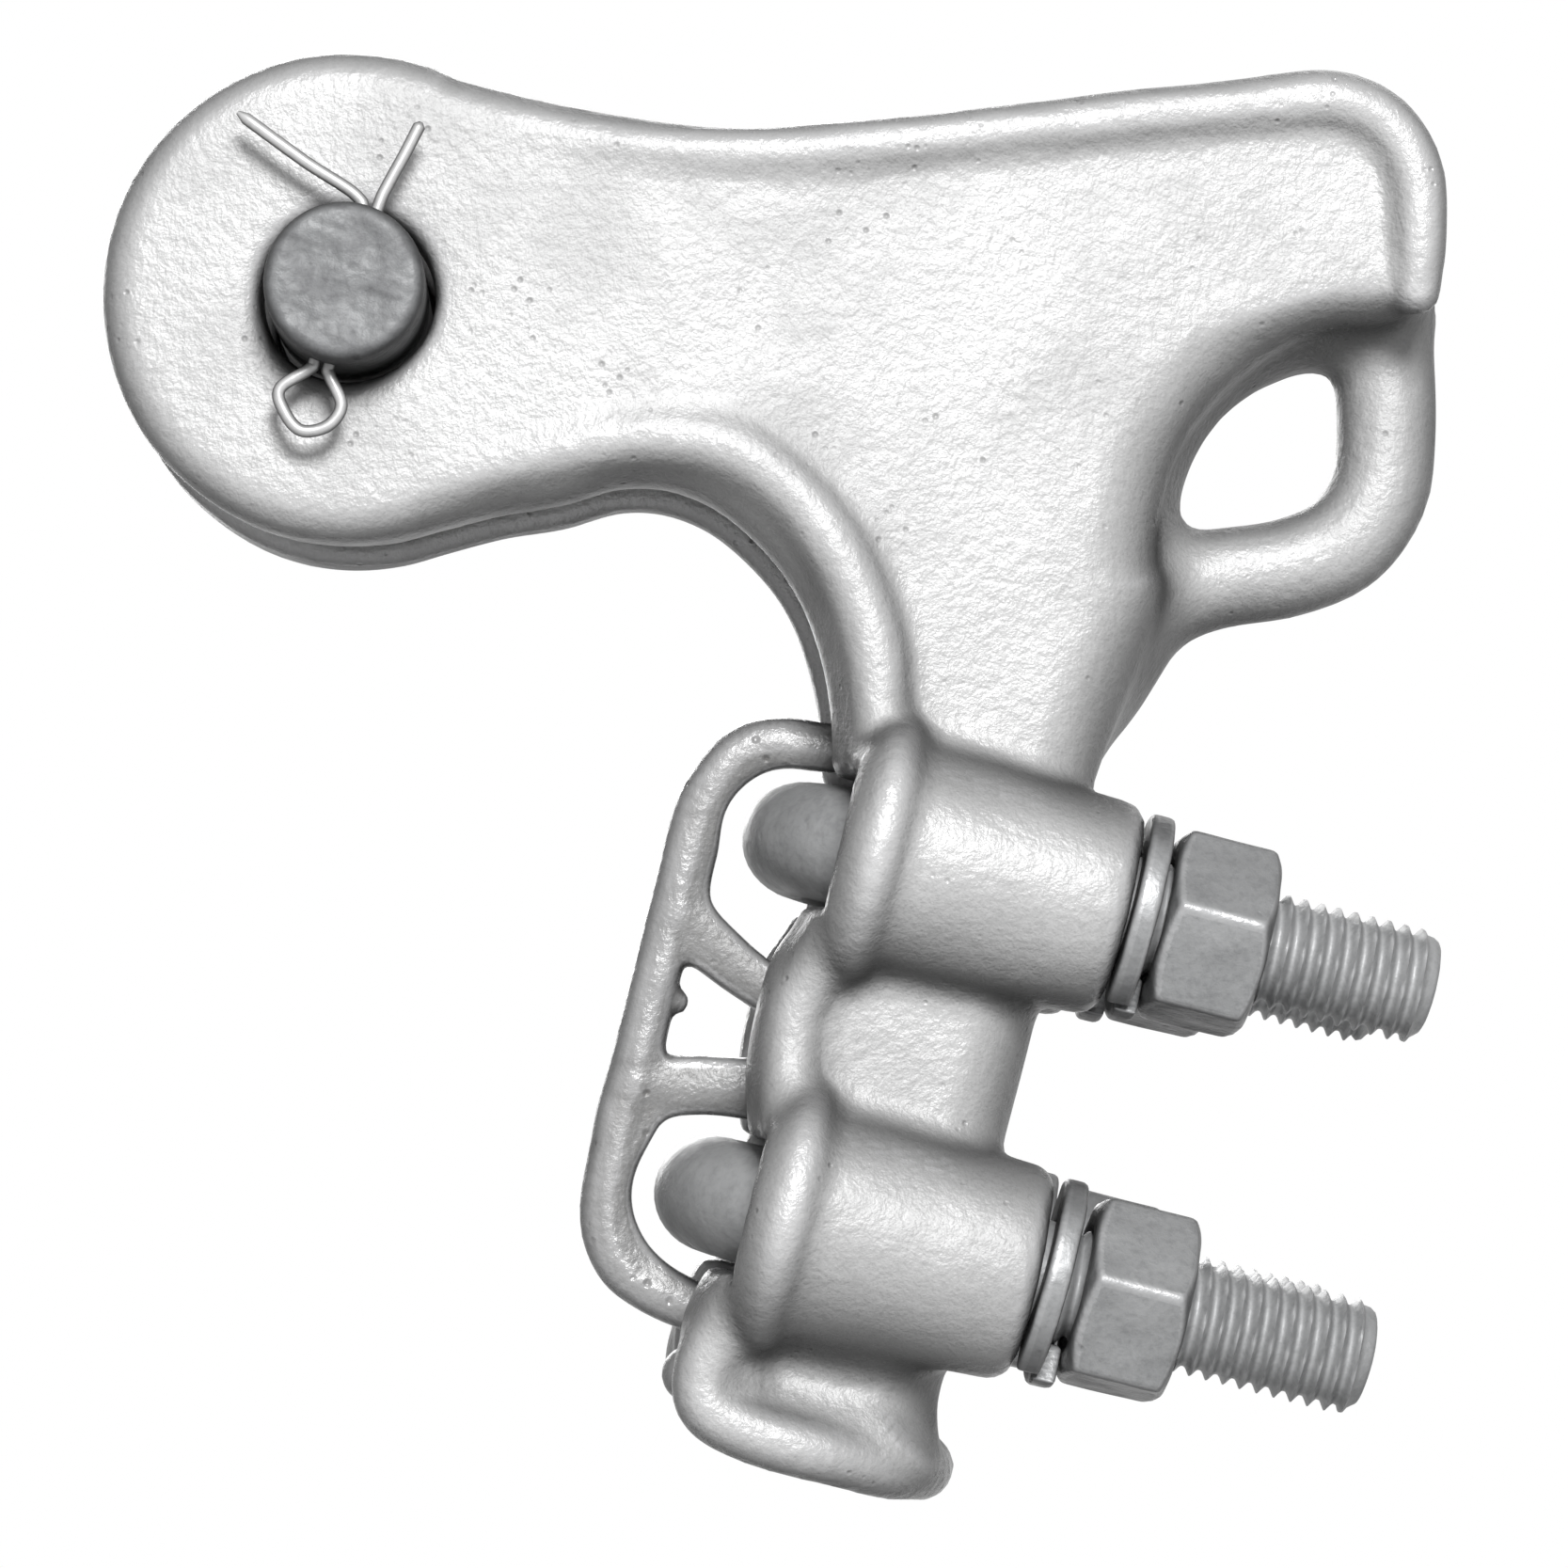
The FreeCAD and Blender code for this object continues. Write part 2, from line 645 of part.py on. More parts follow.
# ---- clevis pin and cotter -------------------------------------------------
def clevis_pin():
    """The pin: a forged head on the far side and a cross hole for the cotter."""
    near = -half_width - pin_protrusion
    head_start = half_width + pin_seat_gap
    radius = pin_diameter / 2
    shank_start = near + pin_end_chamfer
    shank = Part.makeCylinder(radius, head_start - shank_start, V(0, shank_start, 0), y_way)
    tip = Part.makeCone(radius - pin_end_chamfer, radius, pin_end_chamfer, V(0, near, 0), y_way)
    head_radius = pin_head_diameter / 2
    head = Part.makeCylinder(head_radius, pin_head_height, V(0, head_start, 0), y_way)
    rims = [edge for edge in head.Edges if middle_of(edge).y > head_start + pin_head_height / 2]
    head = head.makeFillet(pin_head_height / 4, [edge for edge in rims if edge.Closed])
    way = cotter_way()
    start = V(0, cotter_y, 0) - way * pin_diameter
    hole = Part.makeCylinder(cotter_hole_diameter / 2, 2 * pin_diameter, start, way)
    return shank.fuse([tip, head]).cut(hole)


def cotter_way():
    angle = math.radians(cotter_angle)
    return V(math.sin(angle), 0, math.cos(angle))


def cotter_pin():
    """The cotter: one folded wire with a loop below and two bent legs above."""
    way = cotter_way()
    across = V(way.z, 0, -way.x)
    centre = V(0, cotter_y, 0)
    offset = cotter_wire / 2 + 0.05
    exit_height = pin_diameter / 2 + 0.6

    def spot(height, side):
        return centre + way * height + across * side

    def leg(side, length, spread):
        angle = math.radians(spread)
        start = spot(exit_height, side * offset)
        return start + way * (length * math.cos(angle)) + across * (side * length * math.sin(angle))

    neck = -pin_diameter / 2 - 0.7
    widest = (neck - cotter_loop_drop) / 2
    points = [leg(-1, left_leg_length, left_leg_spread), spot(exit_height, -offset), spot(neck, -offset)]
    points += [spot(widest, -cotter_loop_half), spot(-cotter_loop_drop, 0), spot(widest, cotter_loop_half)]
    points += [spot(neck, offset), spot(exit_height, offset), leg(1, right_leg_length, right_leg_spread)]
    bend = cotter_wire * 0.8
    return pipe(rounded_path(points, [bend] * (len(points) - 2)), cotter_wire / 2)


def main():
    os.makedirs("parts", exist_ok=True)
    pieces = {"clamp_body": clamp_body(), "keeper": keeper()}
    pieces["clevis_pin"] = clevis_pin()
    pieces["cotter_pin"] = cotter_pin()
    for row in bolt_rows:
        pieces[f"{row}_u_bolt"] = u_bolt(row)
        for side in bolt_sides:
            pieces[f"{row}_{side}_nut"] = nut(row, side)
            pieces[f"{row}_{side}_lock_washer"] = lock_washer(row, side)
    for name, shape in pieces.items():
        shape.exportStep(f"parts/{name}.step")
        print(f"{name:26s} valid {shape.isValid()} solids {len(shape.Solids)} volume {shape.Volume:.0f}")


main()
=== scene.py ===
"""Looks of a bolted strain clamp: a cast body and keeper, galvanised U-bolts, nuts, washers and pin.

Lengths in the classes are in millimetres and become metres when a mesh is made.
u runs along the bolts towards the nuts, v down the grip, both from the clevis pin's axis.
"""

import logging
import math
from dataclasses import dataclass
from enum import Enum
from typing import Callable, Sequence

import bmesh
import bpy
import numpy as np
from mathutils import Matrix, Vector

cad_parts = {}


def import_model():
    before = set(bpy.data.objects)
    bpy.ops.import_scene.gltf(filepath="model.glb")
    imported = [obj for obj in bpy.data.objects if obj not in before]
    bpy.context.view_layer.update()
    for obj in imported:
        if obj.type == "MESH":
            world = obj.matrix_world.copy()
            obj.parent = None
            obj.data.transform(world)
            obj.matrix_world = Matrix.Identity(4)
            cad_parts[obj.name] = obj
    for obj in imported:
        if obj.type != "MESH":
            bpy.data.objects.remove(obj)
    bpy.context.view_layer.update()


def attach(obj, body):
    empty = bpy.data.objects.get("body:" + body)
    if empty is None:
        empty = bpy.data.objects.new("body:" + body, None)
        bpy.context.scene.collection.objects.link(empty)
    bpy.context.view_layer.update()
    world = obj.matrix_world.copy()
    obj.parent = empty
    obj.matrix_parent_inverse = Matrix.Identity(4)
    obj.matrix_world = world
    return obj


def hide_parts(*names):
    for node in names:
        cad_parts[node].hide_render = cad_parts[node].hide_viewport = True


log = logging.getLogger("strain_clamp")

MM = 0.001
LEAN = math.radians(14.0)
COS, SIN = math.cos(LEAN), math.sin(LEAN)

Array = np.ndarray
Point2 = tuple[float, float]
Bead = tuple[float, float, float, float]
Colour = tuple[float, float, float]
Fed = dict[str | int, object]
Lamp = tuple[str, tuple[float, float, float], float, float]


class Row(Enum):
    """The two U-bolts, by where they cross the grip."""

    UPPER = "upper"
    LOWER = "lower"


class Side(Enum):
    """The two legs of a U-bolt, by the side of the clamp they are on."""

    NEAR = -1
    FAR = 1


ROW_V = {Row.UPPER: 41.3, Row.LOWER: 79.0}
ROW_TIP = {Row.UPPER: 122.8, Row.LOWER: 125.4}
ROW_WASHER = {Row.UPPER: 3.5, Row.LOWER: 4.4}
LEG_Y = 17.0
BOSS_END_U = 90.6
SEAT_GAP = 0.1
BAR_RADIUS = 6.0
BEND_CENTRE_U = 74.9
CLEARANCE = 0.3
THREAD_PITCH = 1.75 * MM
WELD = 1e-6


def grip_point(u: float, v: float) -> Point2:
    """The x and z of a point in millimetres from its u and v."""
    return (COS * u - SIN * v, -SIN * u - COS * v)


# ---- distance fields -------------------------------------------------------
def soft_min(a: Array, b: Array, blend: float) -> Array:
    """Joins two distance fields with a fillet about as wide as blend."""
    h = np.clip(0.5 + 0.5 * (b - a) / blend, 0.0, 1.0)
    return b + (a - b) * h - blend * h * (1.0 - h)


def soft_max(a: Array, b: Array, blend: float) -> Array:
    """Intersects two distance fields with a rounded edge about as wide as blend."""
    return -soft_min(-a, -b, blend)


def smooth_step(low: float, high: float, x: Array) -> Array:
    """Rises smoothly from 0 at low to 1 at high."""
    t = np.clip((x - low) / (high - low), 0.0, 1.0)
    return t * t * (3.0 - 2.0 * t)


def through(points: Sequence[Sequence[float]], steps: int = 6, closed: bool = False) -> Array:
    """Points along a smooth curve that passes through the given ones.

    Args:
        points: what the curve passes through, each of any number of coordinates.
        steps: how many pieces each span gets.
        closed: whether the curve returns to its first point.

    Returns:
        One row for each point of the curve.
    """
    p = np.asarray(points, float)
    n = len(p)
    if closed:
        before, after = np.roll(p, 1, 0), np.roll(p, -1, 0)
        beyond = np.roll(p, -2, 0)
        spans = range(n)
    else:
        before = np.vstack([2 * p[0] - p[1], p[:-1]])
        after = np.vstack([p[1:], 2 * p[-1] - p[-2]])
        beyond = np.vstack([p[2:], p[-1:] * 2 - p[-2:-1], p[-1:]])
        spans = range(n - 1)
    rows = []
    for i in spans:
        for t in np.arange(steps) / steps:
            a = 2 * p[i] + (after[i] - before[i]) * t
            b = (2 * before[i] - 5 * p[i] + 4 * after[i] - beyond[i]) * t * t
            c = (3 * p[i] - before[i] - 3 * after[i] + beyond[i]) * t ** 3
            rows.append(0.5 * (a + b + c))
    if not closed:
        rows.append(p[-1])
    return np.array(rows)


def outline_distance(a: Array, b: Array, outline: Array) -> Array:
    """Signed distance in a plane to a closed outline, negative inside.

    Args:
        a: first coordinate of each sample.
        b: second coordinate of each sample.
        outline: the outline's points, one row each.

    Returns:
        The distance at each sample.
    """
    best = np.full(a.shape, 1e9)
    inside = np.zeros(a.shape, bool)
    for (x0, y0), (x1, y1) in zip(outline, np.roll(outline, -1, 0)):
        ex, ey = x1 - x0, y1 - y0
        length = ex * ex + ey * ey
        if length < 1e-12:
            continue
        t = np.clip(((a - x0) * ex + (b - y0) * ey) / length, 0.0, 1.0)
        best = np.minimum(best, (a - x0 - t * ex) ** 2 + (b - y0 - t * ey) ** 2)
        if y0 != y1:
            crosses = (b >= min(y0, y1)) & (b < max(y0, y1))
            inside ^= crosses & (a < x0 + (b - y0) * ex / ey)
    return np.where(inside, -1.0, 1.0) * np.sqrt(best)


def tube_distance(x: Array, y: Array, z: Array, path: Array) -> Array:
    """Distance to a round bar whose radius changes along its path.

    Args:
        x: first coordinate of each sample.
        y: second coordinate of each sample.
        z: third coordinate of each sample.
        path: rows of x, y, z and radius.

    Returns:
        The distance at each sample, negative inside.
    """
    best = np.full(np.broadcast(x, y, z).shape, 1e9)
    for p, q in zip(path, path[1:]):
        e = q[:3] - p[:3]
        length = float(e @ e)
        if length < 1e-12:
            continue
        t = ((x - p[0]) * e[0] + (y - p[1]) * e[1] + (z - p[2]) * e[2]) / length
        t = np.clip(t, 0.0, 1.0)
        gap = (x - p[0] - t * e[0]) ** 2 + (y - p[1] - t * e[1]) ** 2 + (z - p[2] - t * e[2]) ** 2
        best = np.minimum(best, np.sqrt(gap) - p[3] - t * (q[3] - p[3]))
    return best


def rounded_slab(flat: Array, across: Array, radius: Array | float) -> Array:
    """A plate from its outline's distance and its side distance, with rounded rims."""
    a, b = flat + radius, across + radius
    outer = np.sqrt(np.maximum(a, 0.0) ** 2 + np.maximum(b, 0.0) ** 2)
    return np.minimum(np.maximum(a, b), 0.0) + outer - radius


def cloudiness(x: Array, y: Array, z: Array, scale: float, seed: int) -> Array:
    """A gentle uneven swell between about -1 and 1, as on a hand-finished mould."""
    rng = np.random.default_rng(seed)
    total = np.zeros(np.broadcast(x, y, z).shape)
    for _ in range(9):
        way = rng.normal(size=3)
        way *= 2 * math.pi / scale / np.linalg.norm(way) * rng.uniform(0.6, 1.4)
        total = total + np.sin(x * way[0] + y * way[1] + z * way[2] + rng.uniform(0, 6.28))
    return total / 4.0


@dataclass
class Grid:
    """A regular grid of samples, by default over half of a shape that is the same on both sides of y = 0."""

    low: tuple[float, float, float]
    high: tuple[float, float, float]
    step: float
    mirrored: bool = True

    def axes(self) -> tuple[Array, Array, Array]:
        """The sample coordinates, shaped to broadcast; y starts at the middle plane if mirrored."""
        xs, ys, zs = (np.arange(a, b + self.step, self.step) for a, b in zip(self.low, self.high))
        return xs[:, None, None], ys[None, :, None], zs[None, None, :]

    def skin(self, values: Array) -> tuple[Array, Array, Array]:
        """The surface where the field is zero.

        Args:
            values: the field on this grid's samples.

        Returns:
            Vertices, quads, and how convex the surface is at each vertex.
        """
        full, origin = values, np.array(self.low)
        if self.mirrored:
            full = np.concatenate([values[:, :0:-1, :], values], axis=1)
            origin[1] = -self.step * (values.shape[1] - 1)
        inside = full < 0
        cells = tuple(n - 1 for n in full.shape)
        total, hits = np.zeros(cells + (3,)), np.zeros(cells, int)
        offsets = [(0, 0), (0, 1), (1, 0), (1, 1)]
        for axis in range(3):
            one, two = [a for a in range(3) if a != axis]
            for i, j in offsets:
                start, end = [0, 0, 0], [0, 0, 0]
                start[one] = end[one] = i
                start[two] = end[two] = j
                end[axis] = 1
                a = full[tuple(slice(s, s + n) for s, n in zip(start, cells))]
                b = full[tuple(slice(s, s + n) for s, n in zip(end, cells))]
                cross = (a < 0) != (b < 0)
                t = np.where(cross, a / np.where(cross, a - b, 1.0), 0.0)
                total[..., axis] += np.where(cross, t, 0.0)
                total[..., one] += np.where(cross, i, 0)
                total[..., two] += np.where(cross, j, 0)
                hits += cross
        used = hits > 0
        number = np.full(cells, -1)
        number[used] = np.arange(used.sum())
        corner = np.argwhere(used)
        verts = (corner + total[used] / hits[used][:, None]) * self.step + origin
        quads = []
        for axis in range(3):
            one, two = [a for a in range(3) if a != axis]
            a = np.moveaxis(inside, (axis, one, two), (0, 1, 2))
            grid = np.moveaxis(number, (axis, one, two), (0, 1, 2))
            change = (a[:-1, 1:-1, 1:-1] != a[1:, 1:-1, 1:-1])
            i, j, k = np.nonzero(change)
            j, k = j + 1, k + 1
            faces = np.stack([grid[i, j - 1, k - 1], grid[i, j, k - 1], grid[i, j, k], grid[i, j - 1, k]], 1)
            flip = ~a[i, j, k] if axis != 1 else a[i, j, k]
            faces[flip] = faces[flip][:, ::-1]
            quads.append(faces)
        bend = sum(np.roll(full, 1, n) + np.roll(full, -1, n) - 2 * full for n in range(3)) / self.step ** 2
        at_vertex = np.clip(corner, 1, np.array(full.shape) - 2)
        return verts, np.concatenate(quads), bend[tuple(at_vertex.T)]


def mesh_object(name: str, verts: Array, faces: Array, material: bpy.types.Material) -> bpy.types.Object:
    """A smooth-shaded mesh object at the origin.

    Args:
        name: the piece's name.
        verts: vertex places in metres.
        faces: vertex numbers of each face.
        material: the finish of the whole piece.

    Returns:
        The object, in the scene.
    """
    mesh = bpy.data.meshes.new(name)
    mesh.from_pydata([tuple(v) for v in verts], [], [tuple(int(i) for i in f) for f in faces])
    mesh.validate()
    mesh.shade_smooth()
    mesh.materials.append(material)
    piece = bpy.data.objects.new(name, mesh)
    bpy.context.scene.collection.objects.link(piece)
    return piece


def face_outwards(piece: bpy.types.Object) -> None:
    """Turns every face of a closed mesh outwards."""
    work = bmesh.new()
    work.from_mesh(piece.data)
    bmesh.ops.recalc_face_normals(work, faces=work.faces)
    work.to_mesh(piece.data)
    work.free()


def skin_object(name: str, grid: Grid, values: Array, place: Callable[[Array], Array],
                material: bpy.types.Material) -> bpy.types.Object:
    """A mesh piece from a distance field, with its convexity kept for the finish.

    Args:
        name: the piece's name.
        grid: where the field is sampled.
        values: the field.
        place: turns grid coordinates in millimetres into the row frame.
        material: the finish.

    Returns:
        The object.
    """
    verts, quads, bend = grid.skin(values)
    piece = mesh_object(name, place(verts) * MM, quads, material)
    face_outwards(piece)
    attribute = piece.data.attributes.new("edge", "FLOAT", "POINT")
    attribute.data.foreach_set("value", np.clip(bend, -1.0, 1.0).astype(np.float32))
    smooth = piece.modifiers.new("relax", "SMOOTH")
    smooth.factor, smooth.iterations = 0.5, 2
    apply_modifiers(piece)
    return piece


def apply_modifiers(piece: bpy.types.Object) -> None:
    """Turns a piece with modifiers into a plain mesh."""
    graph = bpy.context.evaluated_depsgraph_get()
    mesh = bpy.data.meshes.new_from_object(piece.evaluated_get(graph), depsgraph=graph)
    piece.modifiers.clear()
    piece.data = mesh


# ---- cast body -------------------------------------------------------------
@dataclass
class CastBody:
    """The cast aluminium body: clevis ears, barrel, quadrant, grip, bosses and pulling eye."""

    step: float = 0.82
    half_gap: float = 10.0
    half_width: float = 20.0
    mouth_half_width: float = 16.0
    taper_start: float = 30.0
    mouth_x: float = 111.5
    ear_radius: float = 24.85
    floor_u: float = 80.3
    floor_thickness: float = 5.0
    quadrant_radius: float = 30.0
    barrel_floor_z: float = 4.0
    groove_radius: float = 4.5
    groove_depth: float = 12.3
    bolt_hole: float = 6.75
    pin_hole: float = 8.75
    boss_start: float = 61.0
    boss_radius: tuple[float, float] = (12.4, 10.9)
    hood_u: float = 64.8
    hood_ring: float = 11.6
    hood_bead: float = 2.5
    swell: float = 0.10
    swell_length: float = 11.0
    valley_v: float = 94.0
    valley_length: float = 3.6
    valley_depth: float = 2.6
    curl_centre: Point2 = (30.0, -37.0)
    curl_radius: float = 19.0
    rim_round: float = 3.9
    back_round: float = 4.2
    curl_round: float = 2.3
    boss_blend: float = 3.0
    hood_blend: float = 1.6
    lip_blend: float = 1.4
    bead_blend: float = 1.3
    eye_blend: float = 5.0
    web_half: float = 5.2
    slot_blend: float = 1.2
    room_blend: float = 1.0
    room_u: float = 78.1
    pin_blend: float = 2.2
    end_flare: float = 3.6
    mouth_flare: float = 2.2

    @property
    def quadrant(self) -> Point2:
        """Centre of the bend that the conductor lies round."""
        corner = (self.floor_u + SIN * self.barrel_floor_z) / COS
        x = corner + self.quadrant_radius * math.tan((math.pi / 2 - LEAN) / 2)
        return x, self.barrel_floor_z - self.quadrant_radius

    def outline(self) -> Array:
        """The body seen from the side, as a closed row of x and z."""
        turn = np.radians(np.arange(62, 292, 6))
        ear = [(self.ear_radius * math.cos(a), self.ear_radius * math.sin(a)) for a in turn]
        curl = [(15.4, -21.5), (21.8, -20.5), (27.6, -18.9), (32.6, -19.1), (37.6, -21.2), (42.5, -25.7)]
        curl += [(45.9, -30.6), (47.9, -36.1), (48.9, -41.5)]
        lip = [(58.9, 33), (60.1, 38), (60.5, 45), (59.2, 50), (57.6, 54), (57.4, 60), (58.2, 67)]
        lip += [(60.7, 75), (59.6, 84), (57.8, 91), (58.9, 98), (61.5, 101.8), (66, 102.9)]
        lip += [(78, 103.1), (84, 102.7), (86.5, 101), (86, 97.5), (85, 93), (85.2, 84)]
        lip += [(85.3, 60), (85.3, 30)]
        qx, qz = self.quadrant
        back = self.quadrant_radius - self.floor_thickness
        bend = [(qx - back * math.cos(a), qz + back * math.sin(a)) for a in np.linspace(-0.2, 1.3, 8)]
        mouth = [(106.5, qz + back - 0.1), (110.6, 1.2), (111.6, 6.0), (111.6, 12.5), (110.1, 18.0)]
        mouth += [(106.3, 22.2), (100.0, 23.9)]
        top = [(90, 22.9), (78.4, 21.6), (64, 19.6), (50, 18.0), (40, 17.4), (31, 18.0), (22, 19.6)]
        rows = ear + curl + [grip_point(*p) for p in lip] + bend + mouth + top
        return through(rows, 5, closed=True)

    def wall_half_width(self, x: Array, u: Array, v: Array) -> Array:
        """Half the body's width: less towards the mouth and in the hollow under the lower bolt."""
        taper = np.clip((x - self.taper_start) / (self.mouth_x - self.taper_start), 0.0, 1.0)
        width = self.half_width - (self.half_width - self.mouth_half_width) * taper
        hollow = np.exp(-(((v - self.valley_v) / self.valley_length) ** 2)) * smooth_step(64.0, 69.0, u)
        return width - self.valley_depth * hollow

    def edge_radius(self, x: Array, z: Array, u: Array) -> Array:
        """How round the rim is: most at the back, more round the curl than elsewhere."""
        back = smooth_step(70.0, 80.0, u) * smooth_step(3.0, -6.0, z)
        off = np.hypot(x - self.curl_centre[0], z - self.curl_centre[1]) - self.curl_radius
        curl = np.exp(-((off / 9.0) ** 2)) * smooth_step(60.0, 50.0, u)
        return self.rim_round + self.back_round * back + self.curl_round * curl

    def lip_path(self) -> Array:
        """The rounded lip: under the ear, round the curl, over both bosses and along the end."""
        curl: list[Bead] = [
            (2.0, 17.2, -20.0, 1.0), (12.0, 17.6, -18.0, 1.8), (21.0, 17.9, -15.6, 2.5),
            (30.0, 17.9, -14.0, 2.9), (38.0, 17.9, -15.2, 3.1), (44.6, 17.9, -19.6, 3.2),
            (49.6, 18.0, -26.4, 3.3), (52.6, 18.2, -34.4, 3.4),
        ]
        grip = [
            (62.6, 30.0, 18.8, 3.1), (63.6, 36.0, 21.4, 3.0), (64.0, 42.0, 22.4, 3.0),
            (63.5, 48.0, 21.4, 3.0), (62.2, 54.0, 18.8, 3.1), (61.2, 59.0, 18.0, 3.1),
            (61.9, 64.5, 18.4, 3.1), (63.2, 70.5, 20.8, 3.0), (64.0, 77.0, 22.3, 3.0),
            (63.5, 84.0, 21.4, 3.0), (61.8, 90.5, 19.0, 3.1), (60.9, 96.0, 18.4, 3.1),
            (62.2, 99.4, 18.6, 3.1), (66.5, 100.7, 18.6, 3.1), (74.0, 101.1, 17.9, 3.1),
            (80.5, 101.2, 14.4, 3.1), (84.6, 101.0, 8.0, 3.2), (85.8, 100.9, 0.0, 3.2),
        ]
        for u, v, y, radius in grip:
            x, z = grip_point(u, v)
            curl.append((x, y, z, radius))
        return through(curl, 4)

    def top_path(self) -> Array:
        """The bead under the top edge, round the mouth's corner and down its end."""
        rows: list[Bead] = [
            (9.0, 17.0, 18.6, 0.8), (18.0, 17.9, 16.9, 1.7), (29.0, 18.3, 15.2, 2.2),
            (40.0, 18.2, 14.7, 2.5), (52.0, 17.8, 15.4, 2.6), (66.0, 17.2, 17.1, 2.7),
            (80.0, 16.6, 18.8, 2.8), (93.0, 16.1, 20.3, 2.9), (100.0, 15.9, 20.8, 3.0),
            (105.2, 15.8, 18.6, 3.0), (108.2, 15.7, 13.6, 3.0), (108.7, 15.6, 7.0, 2.9),
            (108.4, 15.2, 1.5, 2.6),
        ]
        return through(rows, 4)

    def eye_path(self) -> Array:
        """The round loop under the mouth."""
        rows: list[Bead] = [
            (106.6, 0.0, 4.0, 5.4), (107.3, 0.0, -4.0, 5.3), (107.5, 0.0, -12.0, 5.2),
            (106.6, 0.0, -18.0, 5.2), (103.0, 0.0, -23.0, 5.2), (97.0, 0.0, -25.6, 5.2),
            (89.0, 0.0, -26.9, 5.3), (81.0, 0.0, -29.6, 6.0), (76.0, 0.0, -35.0, 6.5),
        ]
        return through(rows, 4)

    def field(self, x: Array, y: Array, z: Array) -> Array:
        """The body's distance field.

        Args:
            x: samples along the conductor.
            y: samples away from the middle plane.
            z: samples upwards.

        Returns:
            The field, negative inside.
        """
        u, v = COS * x - SIN * z, -SIN * x - COS * z
        flat = outline_distance(*np.broadcast_arrays(x, z), self.outline())
        width = self.wall_half_width(x, u, v)
        body = rounded_slab(flat, y - width, self.edge_radius(x, z, u))
        for shape, blend in ((self.boss, self.boss_blend), (self.hood, self.hood_blend)):
            for row_v in ROW_V.values():
                body = soft_min(body, shape(u, v, y, row_v), blend)
        body = soft_min(body, tube_distance(x, y, z, self.lip_path()), self.lip_blend)
        body = soft_min(body, tube_distance(x, y, z, self.top_path()), self.bead_blend)
        body = soft_min(body, self.eye(x, y, z), self.eye_blend)
        body = soft_max(body, -self.slot(x, y, z, u, v), self.slot_blend)
        for row_v in ROW_V.values():
            body = soft_max(body, -self.bolt_room(u, v, y, row_v), self.room_blend)
        body = soft_max(body, self.pin_hole - np.hypot(x, z), self.pin_blend)
        return body + self.swell * cloudiness(x, y, z, self.swell_length, 3)

    def boss(self, u: Array, v: Array, y: Array, row_v: float) -> Array:
        """One tapered boss round a bolt leg, with a softly rounded end."""
        share = np.clip((u - self.boss_start) / (BOSS_END_U - self.boss_start), 0.0, 1.0)
        radius = self.boss_radius[0] + (self.boss_radius[1] - self.boss_radius[0]) * share
        across = np.hypot(v - row_v, y - LEG_Y) - radius
        along = np.maximum(self.boss_start - u, u - BOSS_END_U)
        return rounded_slab(across, along, 2.2)

    def hood(self, u: Array, v: Array, y: Array, row_v: float) -> Array:
        """The rolled rim of the hood over a U-bolt, coaxial with its boss."""
        ring = np.hypot(v - row_v, y - LEG_Y) - self.hood_ring
        return np.hypot(ring, u - self.hood_u) - self.hood_bead + 0.4 * smooth_step(14.0, 8.0, y)

    def eye(self, x: Array, y: Array, z: Array) -> Array:
        """The pulling eye: its loop and the web that joins it to the quadrant."""
        loop = tube_distance(x, y, z, self.eye_path())
        rows = [(76.0, -44.0), (79.0, -30.0), (84.0, -14.0), (94.0, -4.0), (106.0, 1.0), (104.0, -3.0)]
        rows += [(94.0, -6.0), (87.5, -12.0), (85.0, -20.0), (86.0, -30.0)]
        web_line = through(rows, 3, closed=True)
        flat = outline_distance(*np.broadcast_arrays(x, z), web_line)
        return soft_min(loop, rounded_slab(flat, y - self.web_half, 3.5), 4.0)

    def slot(self, x: Array, y: Array, z: Array, u: Array, v: Array) -> Array:
        """The space between the walls, with a U-shaped groove for the conductor at its foot."""
        qx, qz = self.quadrant
        round_part = np.hypot(x - qx, z - qz) - self.quadrant_radius
        above = (x >= qx) & (z > qz)
        qv = -SIN * qx - COS * qz
        below = v > qv
        flare = self.end_flare * smooth_step(97.0, 105.0, v) ** 2
        depth = np.where(below, self.floor_u + flare - u, round_part)
        depth = np.where(above, z - self.barrel_floor_z, depth)
        mouth = self.mouth_flare * smooth_step(105.0, 112.0, x) ** 2
        depth = depth + np.where(above, mouth, 0.0)
        rise = np.clip((depth - self.groove_radius) / (self.groove_depth - self.groove_radius), 0.0, 1.0)
        wide = self.groove_radius + (self.half_gap - self.groove_radius) * rise
        foot = np.hypot(depth - self.groove_radius, y) - self.groove_radius
        side = np.maximum(y - wide, -(depth - self.groove_radius))
        return np.minimum(side, foot)

    def bolt_room(self, u: Array, v: Array, y: Array, row_v: float) -> Array:
        """Room for one U-bolt: a hole for the leg and a pocket that the bend slides in."""
        hole = np.hypot(v - row_v, y - LEG_Y) - self.bolt_hole
        high = np.maximum(u - self.room_u, np.abs(v - row_v) - self.bolt_hole)
        pocket = np.maximum(high, y - LEG_Y - self.bolt_hole)
        core = np.hypot(u - self.room_u, y) - (LEG_Y - self.bolt_hole)
        return np.minimum(hole, np.maximum(pocket, -core))

    def build(self, material: bpy.types.Material) -> bpy.types.Object:
        """Makes the body and puts it in place of its plain solid."""
        grid = Grid((-26.5, 0.0, -123.5), (114.5, 32.0, 26.5), self.step)
        x, y, z = grid.axes()
        piece = skin_object("cast_body", grid, self.field(x, y, z), lambda p: p, material)
        return finish_piece(piece, "body", "clamp_body")


